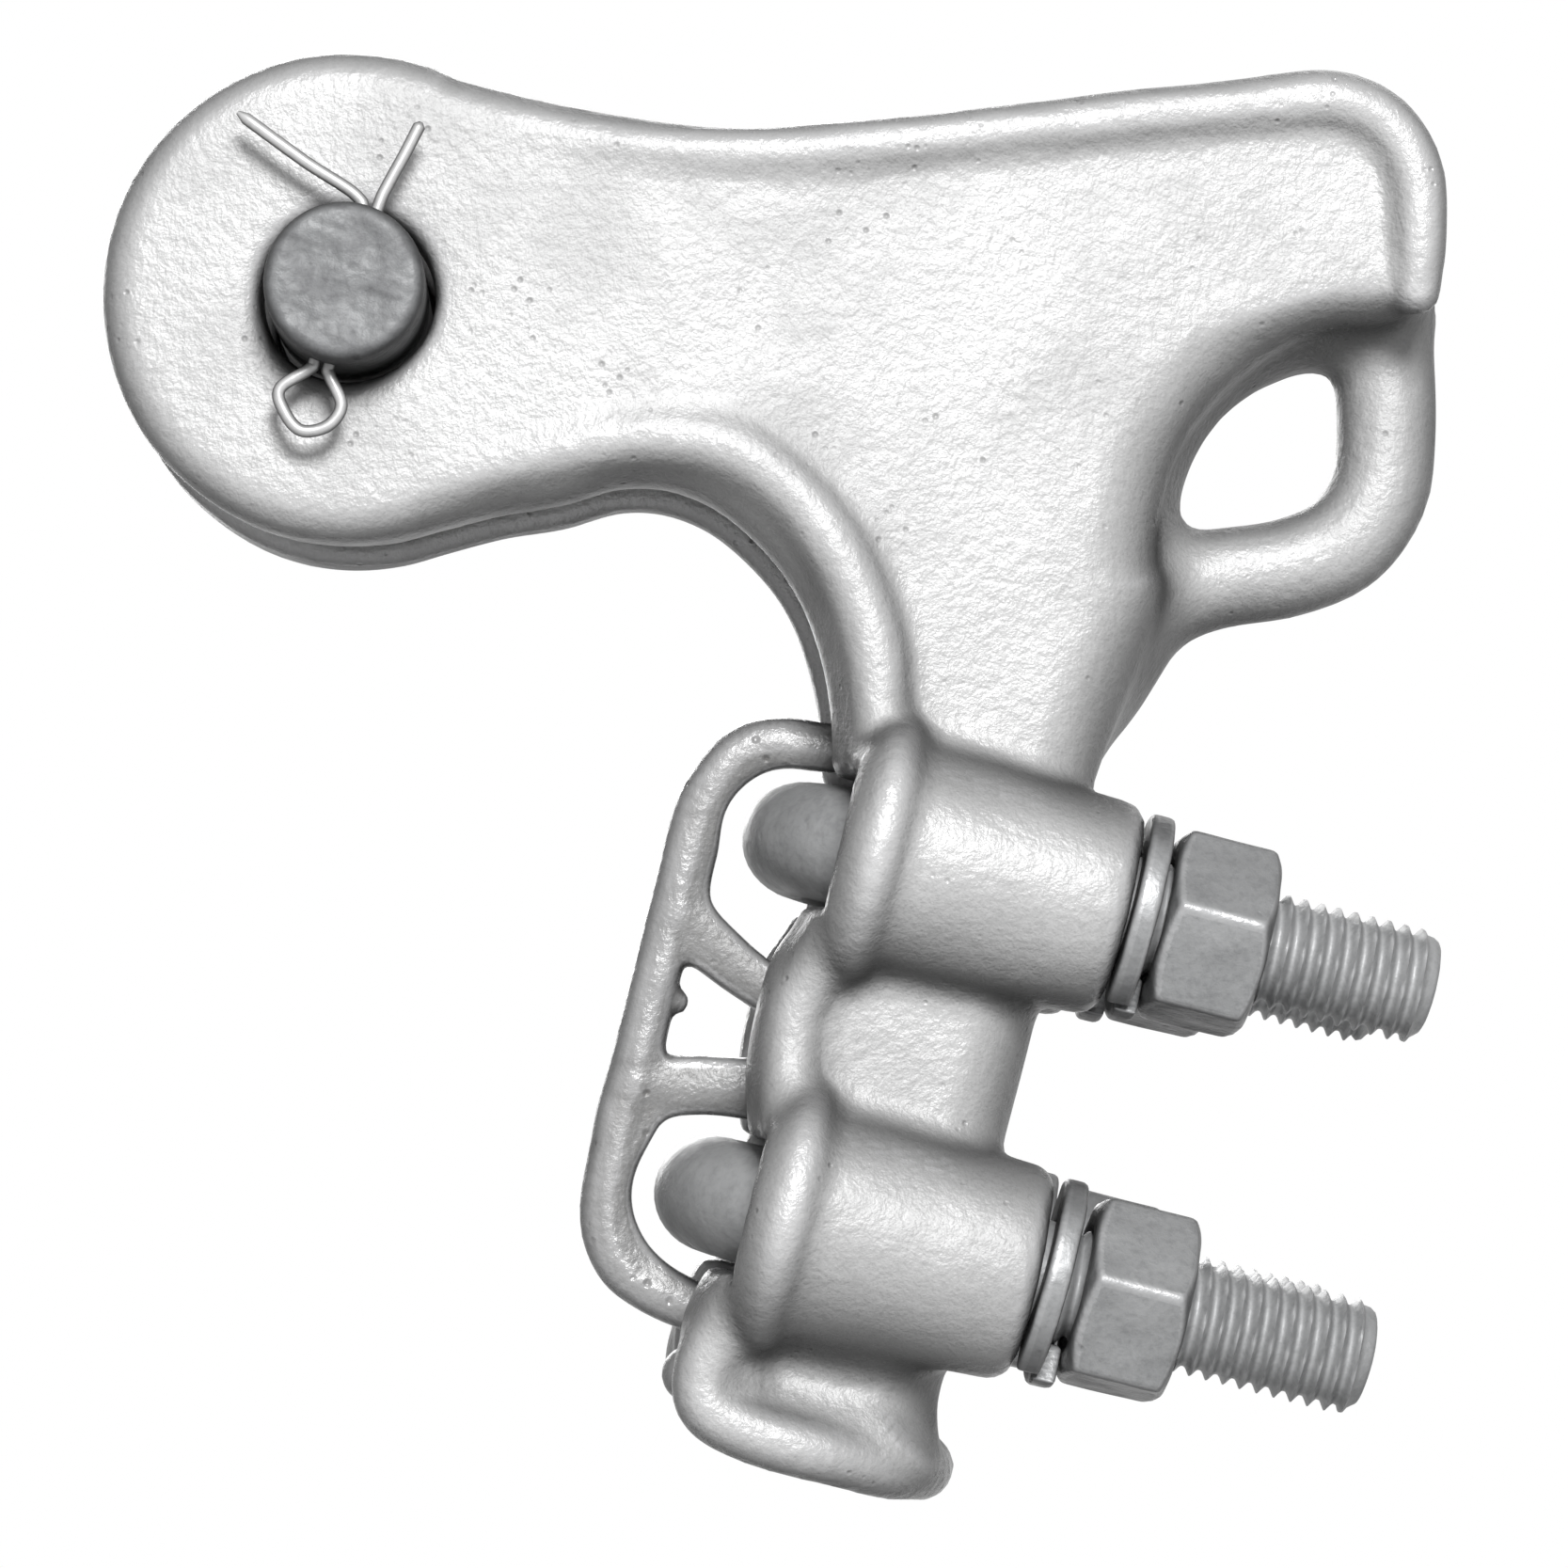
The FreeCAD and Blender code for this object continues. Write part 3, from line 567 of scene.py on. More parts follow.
# ---- cast keeper -----------------------------------------------------------
@dataclass
class CastKeeper:
    """The cast keeper: a saddle on the conductor and a pierced fin round the U-bolts' bends."""

    step: float = 0.5
    rail_u: float = 46.9
    rail_radius: float = 2.45
    fin_half: float = 1.9
    press_u: float = 71.1
    saddle_v: tuple[float, float] = (26.5, 99.5)
    swell: float = 0.07
    seat_u: float = 56.9
    bolt_room: float = 7.2
    saddle_half: tuple[float, float] = (8.4, 4.2)
    hollow: float = 0.9
    hollow_half: float = 3.8
    flash_nub: tuple[float, float, float] = (49.6, 60.6, 1.3)

    def rail_path(self) -> Array:
        """The round rail along the fin's top, outer side and bottom, as u, y, v and radius."""
        line = [(61.0, 30.6), (57.5, 31.2), (53.6, 31.8), (50.6, 33.2), (48.4, 35.9)]
        side = ((0.1, 40.5), (-0.1, 48.0), (0.0, 60.0), (-0.1, 72.0), (0.1, 80.0))
        line += [(self.rail_u + out, v) for out, v in side]
        line += [(48.2, 85.4), (50.8, 88.6), (54.6, 90.2), (59.0, 91.0), (62.0, 91.6)]
        return through([(u, 0, v, self.rail_radius) for u, v in line], 4)

    def windows(self) -> list[Array]:
        """The fin's three openings, as closed rows of u and v."""
        upper = [(62.0, 33.7), (57.0, 34.2), (53.2, 36.6), (50.6, 41.0), (49.9, 46.5), (50.7, 50.0)]
        upper += [(54.5, 52.6), (59.5, 55.2), (64.0, 56.6), (66.0, 50.0), (66.0, 38.0)]
        middle = [(48.9, 56.6), (49.0, 62.0), (49.5, 66.0), (53.0, 65.5), (60.0, 63.9), (62.0, 62.0)]
        middle += [(60.0, 60.2), (54.0, 58.2)]
        lower = [(51.7, 72.6), (50.4, 77.0), (50.4, 81.5), (52.4, 85.2), (56.5, 87.6), (61.0, 88.4)]
        lower += [(65.0, 87.4), (66.0, 80.0), (64.5, 71.5), (58.0, 70.9)]
        return [through(rows, 5, closed=True) for rows in (upper, middle, lower)]

    def ribs(self) -> list[Array]:
        """The raised ribs between the openings, as u, y, v and radius."""
        high = through([(47.6, 0, 51.6, 2.0), (53.0, 0, 54.6, 1.9), (60.0, 0, 57.6, 2.1)], 4)
        low = through([(47.6, 0, 69.6, 2.1), (53.0, 0, 69.0, 1.9), (60.0, 0, 67.2, 2.1)], 4)
        return [high, low]

    def saddle(self, u: Array, y: Array, v: Array) -> Array:
        """The pressing bar: round-backed under the bolts, hollow where it meets the conductor."""
        seat = BEND_CENTRE_U - (LEG_Y - BAR_RADIUS - CLEARANCE)
        back = np.hypot(u - BEND_CENTRE_U, y) - (BEND_CENTRE_U - seat)
        share = np.clip((u - seat) / (self.press_u - seat), 0.0, 1.0)
        side = y - (self.saddle_half[0] - self.saddle_half[1] * share ** 1.5)
        hollow = self.hollow * np.clip(1 - (y / self.hollow_half) ** 2, 0.0, 1.0)
        front = u - (self.press_u + self.hollow - hollow)
        ends = np.maximum(self.saddle_v[0] - v, v - self.saddle_v[1])
        shape = soft_max(np.maximum(back, front), side, 1.6)
        return soft_max(shape, ends, 1.8)

    def field(self, u: Array, y: Array, v: Array) -> Array:
        """The keeper's distance field.

        Args:
            u: samples along the bolts.
            y: samples away from the middle plane.
            v: samples down the grip.

        Returns:
            The field, negative inside.
        """
        rail = self.rail_path()
        inner = [(66.0, 91.0), (66.0, 31.0)]
        plate = outline_distance(*np.broadcast_arrays(u, v), np.vstack([rail[:, [0, 2]], inner]))
        body = rounded_slab(plate, y - self.fin_half, 0.8)
        for window in self.windows():
            body = soft_max(body, -outline_distance(*np.broadcast_arrays(u, v), window), 1.2)
        body = soft_min(body, tube_distance(u, y, v, rail), 1.2)
        for rib in self.ribs():
            body = soft_min(body, tube_distance(u, y, v, rib), 1.4)
        for row_v in ROW_V.values():
            room = np.maximum(np.hypot(u - self.seat_u, v - row_v) - self.bolt_room, 43.0 - u)
            gap = np.maximum(np.abs(v - row_v) - self.bolt_room, np.maximum(self.seat_u - u, u - 70.0))
            body = soft_max(body, -np.minimum(room, gap), 0.8)
        tail = tube_distance(u, y, v, np.array([(66.5, 0, 96.5, 3.2), (60.2, 0, 97.6, 2.9)]))
        body = soft_min(body, self.saddle(u, y, v), 1.4)
        body = soft_min(body, tail, 1.5)
        nub_u, nub_v, nub_radius = self.flash_nub
        nub = np.sqrt((u - nub_u) ** 2 + y ** 2 + (v - nub_v) ** 2) - nub_radius
        return soft_min(body, nub, 0.8) + self.swell * cloudiness(u, y, v, 7.0, 8)

    def build(self, material: bpy.types.Material) -> bpy.types.Object:
        """Makes the keeper and puts it in place of its plain solid."""
        grid = Grid((42.5, 0.0, 25.0), (73.5, 10.5, 101.5), self.step)
        u, y, v = grid.axes()
        piece = skin_object("cast_keeper", grid, self.field(u, y, v), from_rows, material)
        return finish_piece(piece, "keeper", "keeper")


# ---- bars that follow a path -----------------------------------------------
class NodeTree:
    """A node tree with short ways to add nodes and sums."""

    def __init__(self, tree: bpy.types.NodeTree) -> None:
        """Takes hold of a tree."""
        self.tree = tree

    def node(self, kind: str, fed: Fed | None = None, **settings: object) -> bpy.types.Node:
        """Adds one node with its settings, and feeds its inputs.

        Args:
            kind: the node's type.
            fed: a link or a plain value for each input, by name or number.
            **settings: the node's own settings.

        Returns:
            The node.
        """
        node = self.tree.nodes.new(kind)
        for name, value in settings.items():
            setattr(node, name, value)
        self.fill(node, fed or {})
        return node

    def fill(self, node: bpy.types.Node, fed: Fed) -> None:
        """Feeds a node's inputs, each with a link or a plain value."""
        for key, value in fed.items():
            if isinstance(value, bpy.types.NodeSocket):
                self.tree.links.new(value, node.inputs[key])
            else:
                node.inputs[key].default_value = value

    def math(self, operation: str, *values: object, clamp: bool = False) -> bpy.types.NodeSocket:
        """Adds one sum and returns its result."""
        node = self.node("ShaderNodeMath", dict(enumerate(values)), operation=operation, use_clamp=clamp)
        return node.outputs[0]

    def times(self, value: bpy.types.NodeSocket, factor: object) -> bpy.types.NodeSocket:
        """A value times a factor."""
        return self.math("MULTIPLY", value, factor)

    def sockets(self, way: str, kinds: dict[str, str]) -> dict[str, str]:
        """Adds named sockets to the tree.

        Args:
            way: "INPUT" or "OUTPUT".
            kinds: each socket's name and kind.

        Returns:
            Each socket's name and identifier.
        """
        new = self.tree.interface.new_socket
        return {name: new(name, in_out=way, socket_type="NodeSocket" + kind).identifier
                for name, kind in kinds.items()}


class BarTree(NodeTree):
    """A Geometry Nodes tree that runs a round bar along a row of points, with a thread where asked."""

    def __init__(self) -> None:
        """Makes the tree, its named inputs and its nodes."""
        super().__init__(bpy.data.node_groups.new("bar_along_path", "GeometryNodeTree"))
        kinds = {"Geometry": "Geometry", "Sides": "Int"}
        kinds |= {name: "Float" for name in ("Pitch", "Depth", "Wear", "Seed")}
        self.inputs = self.sockets("INPUT", kinds | {"Material": "Material"})
        for name, value in (("Sides", 32), ("Pitch", THREAD_PITCH), ("Seed", 3.0)):
            self.tree.interface.items_tree[name].default_value = value
        self.sockets("OUTPUT", {"Geometry": "Geometry"})
        self.wire()

    def named(self, name: str) -> bpy.types.NodeSocket:
        """Reads a value stored on the path."""
        node = self.node("GeometryNodeInputNamedAttribute", {"Name": name}, data_type="FLOAT")
        return node.outputs["Attribute"]

    def stored(self, name: str, curve: bpy.types.NodeSocket, part: str) -> bpy.types.NodeSocket:
        """Stores a part of the spline's own parameter on a curve."""
        value = self.node("GeometryNodeSplineParameter").outputs[part]
        fed = {"Name": name, "Geometry": curve, "Value": value}
        node = self.node("GeometryNodeStoreNamedAttribute", fed, data_type="FLOAT", domain="POINT")
        return node.outputs["Geometry"]

    def wire(self) -> None:
        """Lays the tree out."""
        given = self.node("NodeGroupInput").outputs
        curve = self.node("GeometryNodeMeshToCurve", {"Mesh": given["Geometry"]}).outputs["Curve"]
        size = {"Resolution": given["Sides"], "Radius": MM}
        circle = self.node("GeometryNodeCurvePrimitiveCircle", size, mode="RADIUS").outputs["Curve"]
        sweep = self.node("GeometryNodeCurveToMesh", {
            "Fill Caps": True,
            "Curve": self.stored("along", curve, "Length"),
            "Profile Curve": self.stored("turn", circle, "Factor"),
            "Scale": self.times(self.named("bar_radius"), 1.0 / MM),
        })
        wave = self.math("DIVIDE", self.named("along"), given["Pitch"])
        wave = self.math("FRACT", self.math("SUBTRACT", wave, self.named("turn")))
        valley = self.math("ABSOLUTE", self.math("SUBTRACT", self.times(wave, 2.0), 1.0))
        valley = self.math("SMOOTH_MIN", self.times(valley, 1.35), 1.0, 0.25)
        cut = self.times(self.times(valley, given["Depth"]), self.named("thread"))
        place = self.node("GeometryNodeInputPosition").outputs[0]
        fed = {"Vector": place, "W": given["Seed"], "Scale": 420.0, "Detail": 3.0}
        noise = self.node("ShaderNodeTexNoise", fed, noise_dimensions="4D")
        rough = self.math("SUBTRACT", noise.outputs[0], 0.75)
        shift = self.math("SUBTRACT", self.times(rough, given["Wear"]), cut)
        normal = self.node("GeometryNodeInputNormal").outputs[0]
        push = self.node("ShaderNodeVectorMath", {0: normal, "Scale": shift}, operation="SCALE").outputs[0]
        done = self.node("GeometryNodeSetPosition", {"Geometry": sweep.outputs["Mesh"], "Offset": push})
        done = self.node("GeometryNodeMergeByDistance", {"Geometry": done.outputs[0], "Distance": WELD})
        done = self.node("GeometryNodeRealizeInstances", {"Geometry": done.outputs[0]})
        fed = {"Geometry": done.outputs[0], "Material": given["Material"]}
        done = self.node("GeometryNodeSetMaterial", fed)
        self.node("NodeGroupOutput", {"Geometry": done.outputs[0]})

    def bar(self, name: str, path: Array, thread: Array, material: bpy.types.Material,
            **inputs: float) -> bpy.types.Object:
        """Runs a bar along a path and makes it a plain mesh.

        Args:
            name: the piece's name.
            path: rows of x, y, z and radius in millimetres.
            thread: how deep the thread is at each row, from 0 to 1.
            material: the finish.
            **inputs: the tree's named inputs.

        Returns:
            The object.
        """
        mesh = bpy.data.meshes.new(name)
        steps = [(i, i + 1) for i in range(len(path) - 1)]
        mesh.from_pydata([tuple(p) for p in path[:, :3] * MM], steps, [])
        for key, values in (("bar_radius", path[:, 3] * MM), ("thread", thread)):
            attribute = mesh.attributes.new(key, "FLOAT", "POINT")
            attribute.data.foreach_set("value", np.asarray(values, np.float32))
        piece = bpy.data.objects.new(name, mesh)
        bpy.context.scene.collection.objects.link(piece)
        modifier = piece.modifiers.new("bar", "NODES")
        modifier.node_group = self.tree
        for key, value in {**inputs, "Material": material}.items():
            modifier[self.inputs[key]] = value
        apply_modifiers(piece)
        piece.data.name = name
        face_outwards(piece)
        piece.data.shade_smooth()
        piece.data.set_sharp_from_angle(angle=math.radians(50))
        return piece


# ---- U-bolts, nuts and washers ---------------------------------------------
@dataclass
class UBolt:
    """One U-bolt: a round bar bent in a half circle, threaded from each nut's seat to its tip."""

    row: Row
    tip_round: float = 1.5
    thread_depth: float = 0.95
    thread_from: float = 93.5
    thread_step: float = 0.22
    plain_step: float = 1.2
    sides: int = 36
    wear: float = 0.16

    def leg(self, side: Side) -> Array:
        """One leg's rows of u, y and radius, from the bend to its tip."""
        tip = ROW_TIP[self.row]
        plain = np.arange(BEND_CENTRE_U, self.thread_from, self.plain_step)
        fine = np.arange(self.thread_from, tip - self.tip_round, self.thread_step)
        round_off = self.tip_round
        end = [(tip - round_off * k, BAR_RADIUS - round_off * (1 - k) ** 1.3) for k in (0.8, 0.5, 0.25, 0.08)]
        end += [(tip, BAR_RADIUS - round_off - 0.25)]
        rows = [(u, BAR_RADIUS) for u in np.concatenate([plain, fine])] + end
        return np.array([(u, side.value * LEG_Y, radius) for u, radius in rows])

    def path(self) -> tuple[Array, Array]:
        """The bar's rows of x, y, z and radius, and where it is threaded."""
        near, far = self.leg(Side.NEAR)[::-1], self.leg(Side.FAR)
        turn = np.radians(np.arange(4, 180, 4))
        bend_u, bend_y = BEND_CENTRE_U - LEG_Y * np.sin(turn), -LEG_Y * np.cos(turn)
        bend = np.stack([bend_u, bend_y, np.full(turn.shape, BAR_RADIUS)], 1)
        rows = np.vstack([near, bend, far])
        v = ROW_V[self.row]
        x, z = COS * rows[:, 0] - SIN * v, -SIN * rows[:, 0] - COS * v
        start = smooth_step(self.thread_from, self.thread_from + 1.5, rows[:, 0])
        tip = ROW_TIP[self.row]
        end = 1.0 - 0.85 * smooth_step(tip - 2.4, tip, rows[:, 0])
        return np.stack([x, rows[:, 1], z, rows[:, 2]], 1), start * end

    def build(self, tree: BarTree, material: bpy.types.Material) -> bpy.types.Object:
        """Makes the bolt and puts it in place of its plain solid."""
        path, thread = self.path()
        node = f"{self.row.value}_u_bolt"
        piece = tree.bar(f"{self.row.value}_bolt", path, thread, material,
                         Depth=self.thread_depth * MM, Sides=self.sides, Wear=self.wear * MM)
        return finish_piece(piece, node, node)


@dataclass
class Nut:
    """One hexagon nut with turned-down corners and a zinc-rounded edge."""

    row: Row
    side: Side
    flats: float = 18.0
    height: float = 10.8
    turn: float = 10.0
    corner_share: float = 0.47
    bore_gap: float = 0.15
    edge_blend: float = 0.5
    step: float = 0.32

    def field(self, w: Array, a: Array, b: Array) -> Array:
        """The nut's distance field about its own axis w."""
        ring = np.hypot(a, b)
        hexagon = np.full(np.broadcast(a, b).shape, -1e9)
        for k in range(3):
            way = math.radians(60 * k + 30 + self.turn)
            across = np.abs(a * math.cos(way) + b * math.sin(way)) - self.flats / 2
            hexagon = soft_max(hexagon, across, self.edge_blend)
        ends = np.maximum(-w, w - self.height)
        # A cone of 30 degrees turns the corners down.
        cone = (ring - self.corner_share * self.flats) * 0.5 + ends * 0.866
        body = soft_max(soft_max(hexagon, ends, self.edge_blend), cone, 0.35)
        bore = BAR_RADIUS + self.bore_gap
        mouth = 0.7 * np.clip(1.0 + ends / 0.9, 0.0, 1.0)
        return soft_max(body, bore + mouth - ring, 0.3) + 0.05 * cloudiness(w, a, b, 5.0, 21)

    def build(self, material: bpy.types.Material) -> bpy.types.Object:
        """Makes the nut and puts it in place of its plain solid."""
        start = BOSS_END_U + ROW_WASHER[self.row] + 2 * SEAT_GAP
        reach = self.flats / math.sqrt(3) + 0.6
        grid = Grid((-0.6, -reach, -reach), (self.height + 0.6, reach, reach), self.step, False)
        place = beside_bolt(self.row, self.side, start)
        name = f"{self.row.value}_{self.side.name.lower()}_nut"
        piece = skin_object(f"{name}_forged", grid, self.field(*grid.axes()), place, material)
        return finish_piece(piece, name, name)


@dataclass
class SpringWasher:
    """One split spring washer, standing open by its free height."""

    row: Row
    side: Side
    inner: float = 6.3
    outer: float = 10.5
    thickness: float = 2.5
    split: float = 115.0
    gap: float = 0.9
    step: float = 0.3

    def field(self, w: Array, a: Array, b: Array) -> Array:
        """The washer's distance field about its own axis w."""
        ring = np.hypot(a, b)
        rise = ROW_WASHER[self.row] - self.thickness
        angle = (np.arctan2(b, a) - math.radians(self.split)) % (2 * math.pi)
        low = rise * angle / (2 * math.pi)
        middle = low + self.thickness / 2
        across = np.abs(ring - (self.inner + self.outer) / 2) - (self.outer - self.inner) / 2
        body = rounded_slab(across, np.abs(w - middle) - self.thickness / 2, 0.45)
        off = np.minimum(angle, 2 * math.pi - angle) * ring
        return np.maximum(body, self.gap / 2 - off) + 0.03 * cloudiness(w, a, b, 4.0, 5)

    def build(self, material: bpy.types.Material) -> bpy.types.Object:
        """Makes the washer and puts it in place of its plain solid."""
        reach = self.outer + 0.6
        high = ROW_WASHER[self.row] + 0.6
        grid = Grid((-0.6, -reach, -reach), (high, reach, reach), self.step, False)
        name = f"{self.row.value}_{self.side.name.lower()}_lock_washer"
        place = beside_bolt(self.row, self.side, BOSS_END_U + SEAT_GAP)
        piece = skin_object(f"{name}_coil", grid, self.field(*grid.axes()), place, material)
        return finish_piece(piece, "body", name)


# ---- clevis pin and cotter -------------------------------------------------
@dataclass
class ClevisPin:
    """The forged clevis pin with its rough sheared end, and the wire cotter through it."""

    near_y: float = -30.0
    head_y: float = 20.3
    head_height: float = 6.0
    radius: float = 8.0
    head_radius: float = 12.0
    sides: int = 120
    cotter_y: float = -24.4
    wire: float = 0.65
    wire_wear: float = 0.05
    cotter_lean: float = 17.0
    pit: float = 0.12
    dents: tuple[tuple[float, float, float, float], ...] = (
        (-3.0, 2.2, 2.2, 0.55), (2.6, 3.4, 1.6, 0.4), (1.0, -2.4, 2.6, 0.5), (-4.4, -3.4, 1.5, 0.35),
    )

    def profile(self) -> list[Point2]:
        """The pin's outline as rows of y and radius, from the middle of one end to the other."""
        near, top = self.near_y, self.head_y + self.head_height
        rows = [(near + 0.3, r) for r in np.linspace(0.35, 6.6, 16)]
        rows += [(near + 0.34, 6.95), (near + 0.5, 7.3), (near + 0.8, 7.6), (near + 1.2, 7.82)]
        rows += [(near + 1.8, 7.95)]
        rows += [(y, self.radius) for y in np.arange(near + 2.4, self.head_y, 1.1)]
        rows += [(self.head_y, r) for r in (8.3, 9.5, 11.0, 11.6)]
        wide = self.head_radius
        rows += [(self.head_y + 0.3, wide - 0.1), (self.head_y + 1.0, wide), (top - 2.0, wide)]
        rows += [(top - 1.2, wide - 0.2), (top - 0.5, wide - 0.8), (top - 0.15, wide - 1.8)]
        rows += [(top, 9.0), (top, 6.0), (top, 3.0), (top, 0.4)]
        return rows

    def build_pin(self, material: bpy.types.Material) -> bpy.types.Object:
        """Makes the pin and puts it in place of its plain solid."""
        rows = np.array(self.profile())
        turn = np.linspace(0, 2 * math.pi, self.sides, endpoint=False)
        y = np.repeat(rows[:, 0], self.sides)
        radius = np.repeat(rows[:, 1], self.sides)
        angle = np.tile(turn, len(rows))
        x, z = radius * np.cos(angle), radius * np.sin(angle)
        rough = 0.6 * cloudiness(x, y, z, 3.2, 4) + 0.5 * cloudiness(x, y, z, 1.5, 9)
        dents = np.zeros(x.shape)
        for dx, dz, size, deep in self.dents:
            dents += deep * np.exp(-((x - dx) ** 2 + (z - dz) ** 2) / size ** 2)
        face = smooth_step(self.near_y + 2.0, self.near_y + 0.4, y)
        y = y + face * np.clip(self.pit * rough + 0.9 * dents, -0.28, 1.2)
        shrink = 1.0 - 0.006 * (0.5 + 0.5 * cloudiness(x, y, z, 6.0, 13))
        verts = np.stack([x * shrink, y, z * shrink], 1)
        ends = np.array([[0.0, verts[:self.sides, 1].mean(), 0.0], [0.0, rows[-1, 0], 0.0]])
        verts = np.vstack([verts, ends])
        n, last = self.sides, len(rows) - 1
        faces = [(i * n + k, i * n + (k + 1) % n, (i + 1) * n + (k + 1) % n, (i + 1) * n + k)
                 for i in range(last) for k in range(n)]
        faces += [((k + 1) % n, k, len(verts) - 2) for k in range(n)]
        faces += [(last * n + k, last * n + (k + 1) % n, len(verts) - 1) for k in range(n)]
        piece = mesh_object("forged_pin", verts * MM, faces, material)
        face_outwards(piece)
        return finish_piece(piece, "clevis_pin", "clevis_pin")

    def build_cotter(self, tree: BarTree, material: bpy.types.Material) -> bpy.types.Object:
        """Makes the folded wire: a loop below the pin and two bent legs above."""
        lean = math.radians(self.cotter_lean)
        way = np.array([math.sin(lean), math.cos(lean)])
        across = np.array([math.cos(lean), -math.sin(lean)])
        offset = self.wire + 0.06
        spots = [(13.5, -15.4), (10.8, -7.6), (9.0, -1.6), (7.0, -offset), (0.0, -offset), (-7.6, -offset)]
        spots += [(-8.9, -1.0), (-11.6, -3.2), (-13.6, -2.2), (-15.0, 0.0), (-13.8, 2.4), (-11.4, 3.1)]
        spots += [(-8.9, 1.1), (-7.6, offset), (0.0, offset), (8.4, offset), (11.0, 1.0), (14.5, 1.7)]
        spots += [(18.0, 2.3)]
        rows = [(way * h + across * s) for h, s in spots]
        path = through([(x, self.cotter_y, z, self.wire) for x, z in rows], 8)
        path[0, 3] = path[-1, 3] = 0.35 * self.wire
        plain = np.zeros(len(path))
        piece = tree.bar("cotter_wire", path, plain, material, Sides=16, Wear=self.wire_wear * MM, Depth=0.0)
        return finish_piece(piece, "clevis_pin", "cotter_pin")


def from_rows(points: Array) -> Array:
    """Turns rows of u, y and v into rows of x, y and z."""
    u, y, v = points.T
    return np.stack([COS * u - SIN * v, y, -SIN * u - COS * v], 1)


def beside_bolt(row: Row, side: Side, start_u: float) -> Callable[[Array], Array]:
    """Placement of a piece that lies round one bolt leg.

    Args:
        row: the U-bolt.
        side: its leg.
        start_u: where the piece starts along the leg.

    Returns:
        A function from local w, a and b to the row frame, all in millimetres.
    """
    def place(points: Array) -> Array:
        """Moves rows of w, a and b to the bolt leg."""
        w, a, b = points.T
        return from_rows(np.stack([w + start_u, a + side.value * LEG_Y, b + ROW_V[row]], 1))

    return place


def finish_piece(piece: bpy.types.Object, body: str, node: str) -> bpy.types.Object:
    """Ties a piece to its body and hides the plain solid it stands for.

    Args:
        piece: the finished mesh.
        body: the body it moves with.
        node: the plain solid it replaces.

    Returns:
        The same object.
    """
    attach(piece, body)
    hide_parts(node)
    log.info("%s rides %s: %d faces", piece.name, body, len(piece.data.polygons))
    return piece


# ---- finishes --------------------------------------------------------------
@dataclass(frozen=True)
class Finish:
    """How one surface looks; grain and stain are noise scales; worn is partly rubbed bare metal and partly a
    painted highlight on crests; rim is a painted shade that darkens the colour where the surface turns away
    from the camera.
    """

    name: str
    colour: Colour
    shade: Colour
    metallic: float
    roughness: float
    grain: float
    stain: float
    bump: float
    # Crests turn paler: partly rubbed bare metal, partly a painted highlight.
    worn: float = 0.0
    # Painted shade: how dark the colour gets where the surface turns away from the camera.
    rim: float = 0.06


def grey(value: float, cool: float = 0.0) -> Colour:
    """A grey whose blue is above its red by cool."""
    return (value, value + cool / 2, value + cool)


CAST = Finish("cast_aluminium_oxide", grey(0.66), grey(0.40), 0.10, 0.40, 2500.0, 55.0, 0.50, 0.8)
CAST_KEEPER = Finish("cast_keeper_oxide", grey(0.36), grey(0.19, -0.01), 0.14, 0.42, 1800.0, 90.0, 0.55, 0.8)
# The bar's last figure, 0.55, makes its painted grazing shade lighter than the other finishes' shade.
ZINC_BOLT = Finish("galvanised_bar", grey(0.50, 0.01), grey(0.27, 0.01),
                   0.12, 0.50, 1100.0, 110.0, 0.45, 0.0, 0.55)
ZINC_NUT = Finish("galvanised_nut_zinc", grey(0.44, 0.01), grey(0.22, 0.01),
                  0.15, 0.46, 1200.0, 140.0, 0.45, 0.4)
ZINC_WASHER = Finish("galvanised_washer_zinc", grey(0.42, 0.01), grey(0.20, 0.01),
                     0.2, 0.44, 1200.0, 140.0, 0.3, 0.3)
ZINC_PIN = Finish("galvanised_pin_zinc", grey(0.27, 0.01), (0.10, 0.10, 0.105), 0.1, 0.55, 1100.0, 200.0, 0.5)
WIRE = Finish("cotter_wire_steel", grey(0.70), grey(0.48), 0.3, 0.38, 1500.0, 300.0, 0.1)
# The pale colour of crests: rubbed bare metal with a painted highlight.
RUBBED_METAL_HIGHLIGHT = (0.86, 0.86, 0.87, 1.0)
BUMP_HEIGHT = 0.0004
# How soon the painted grazing shade sets in as the surface turns away.
GRAZING_SHADE_BLEND = 0.69
SHINE = 0.38


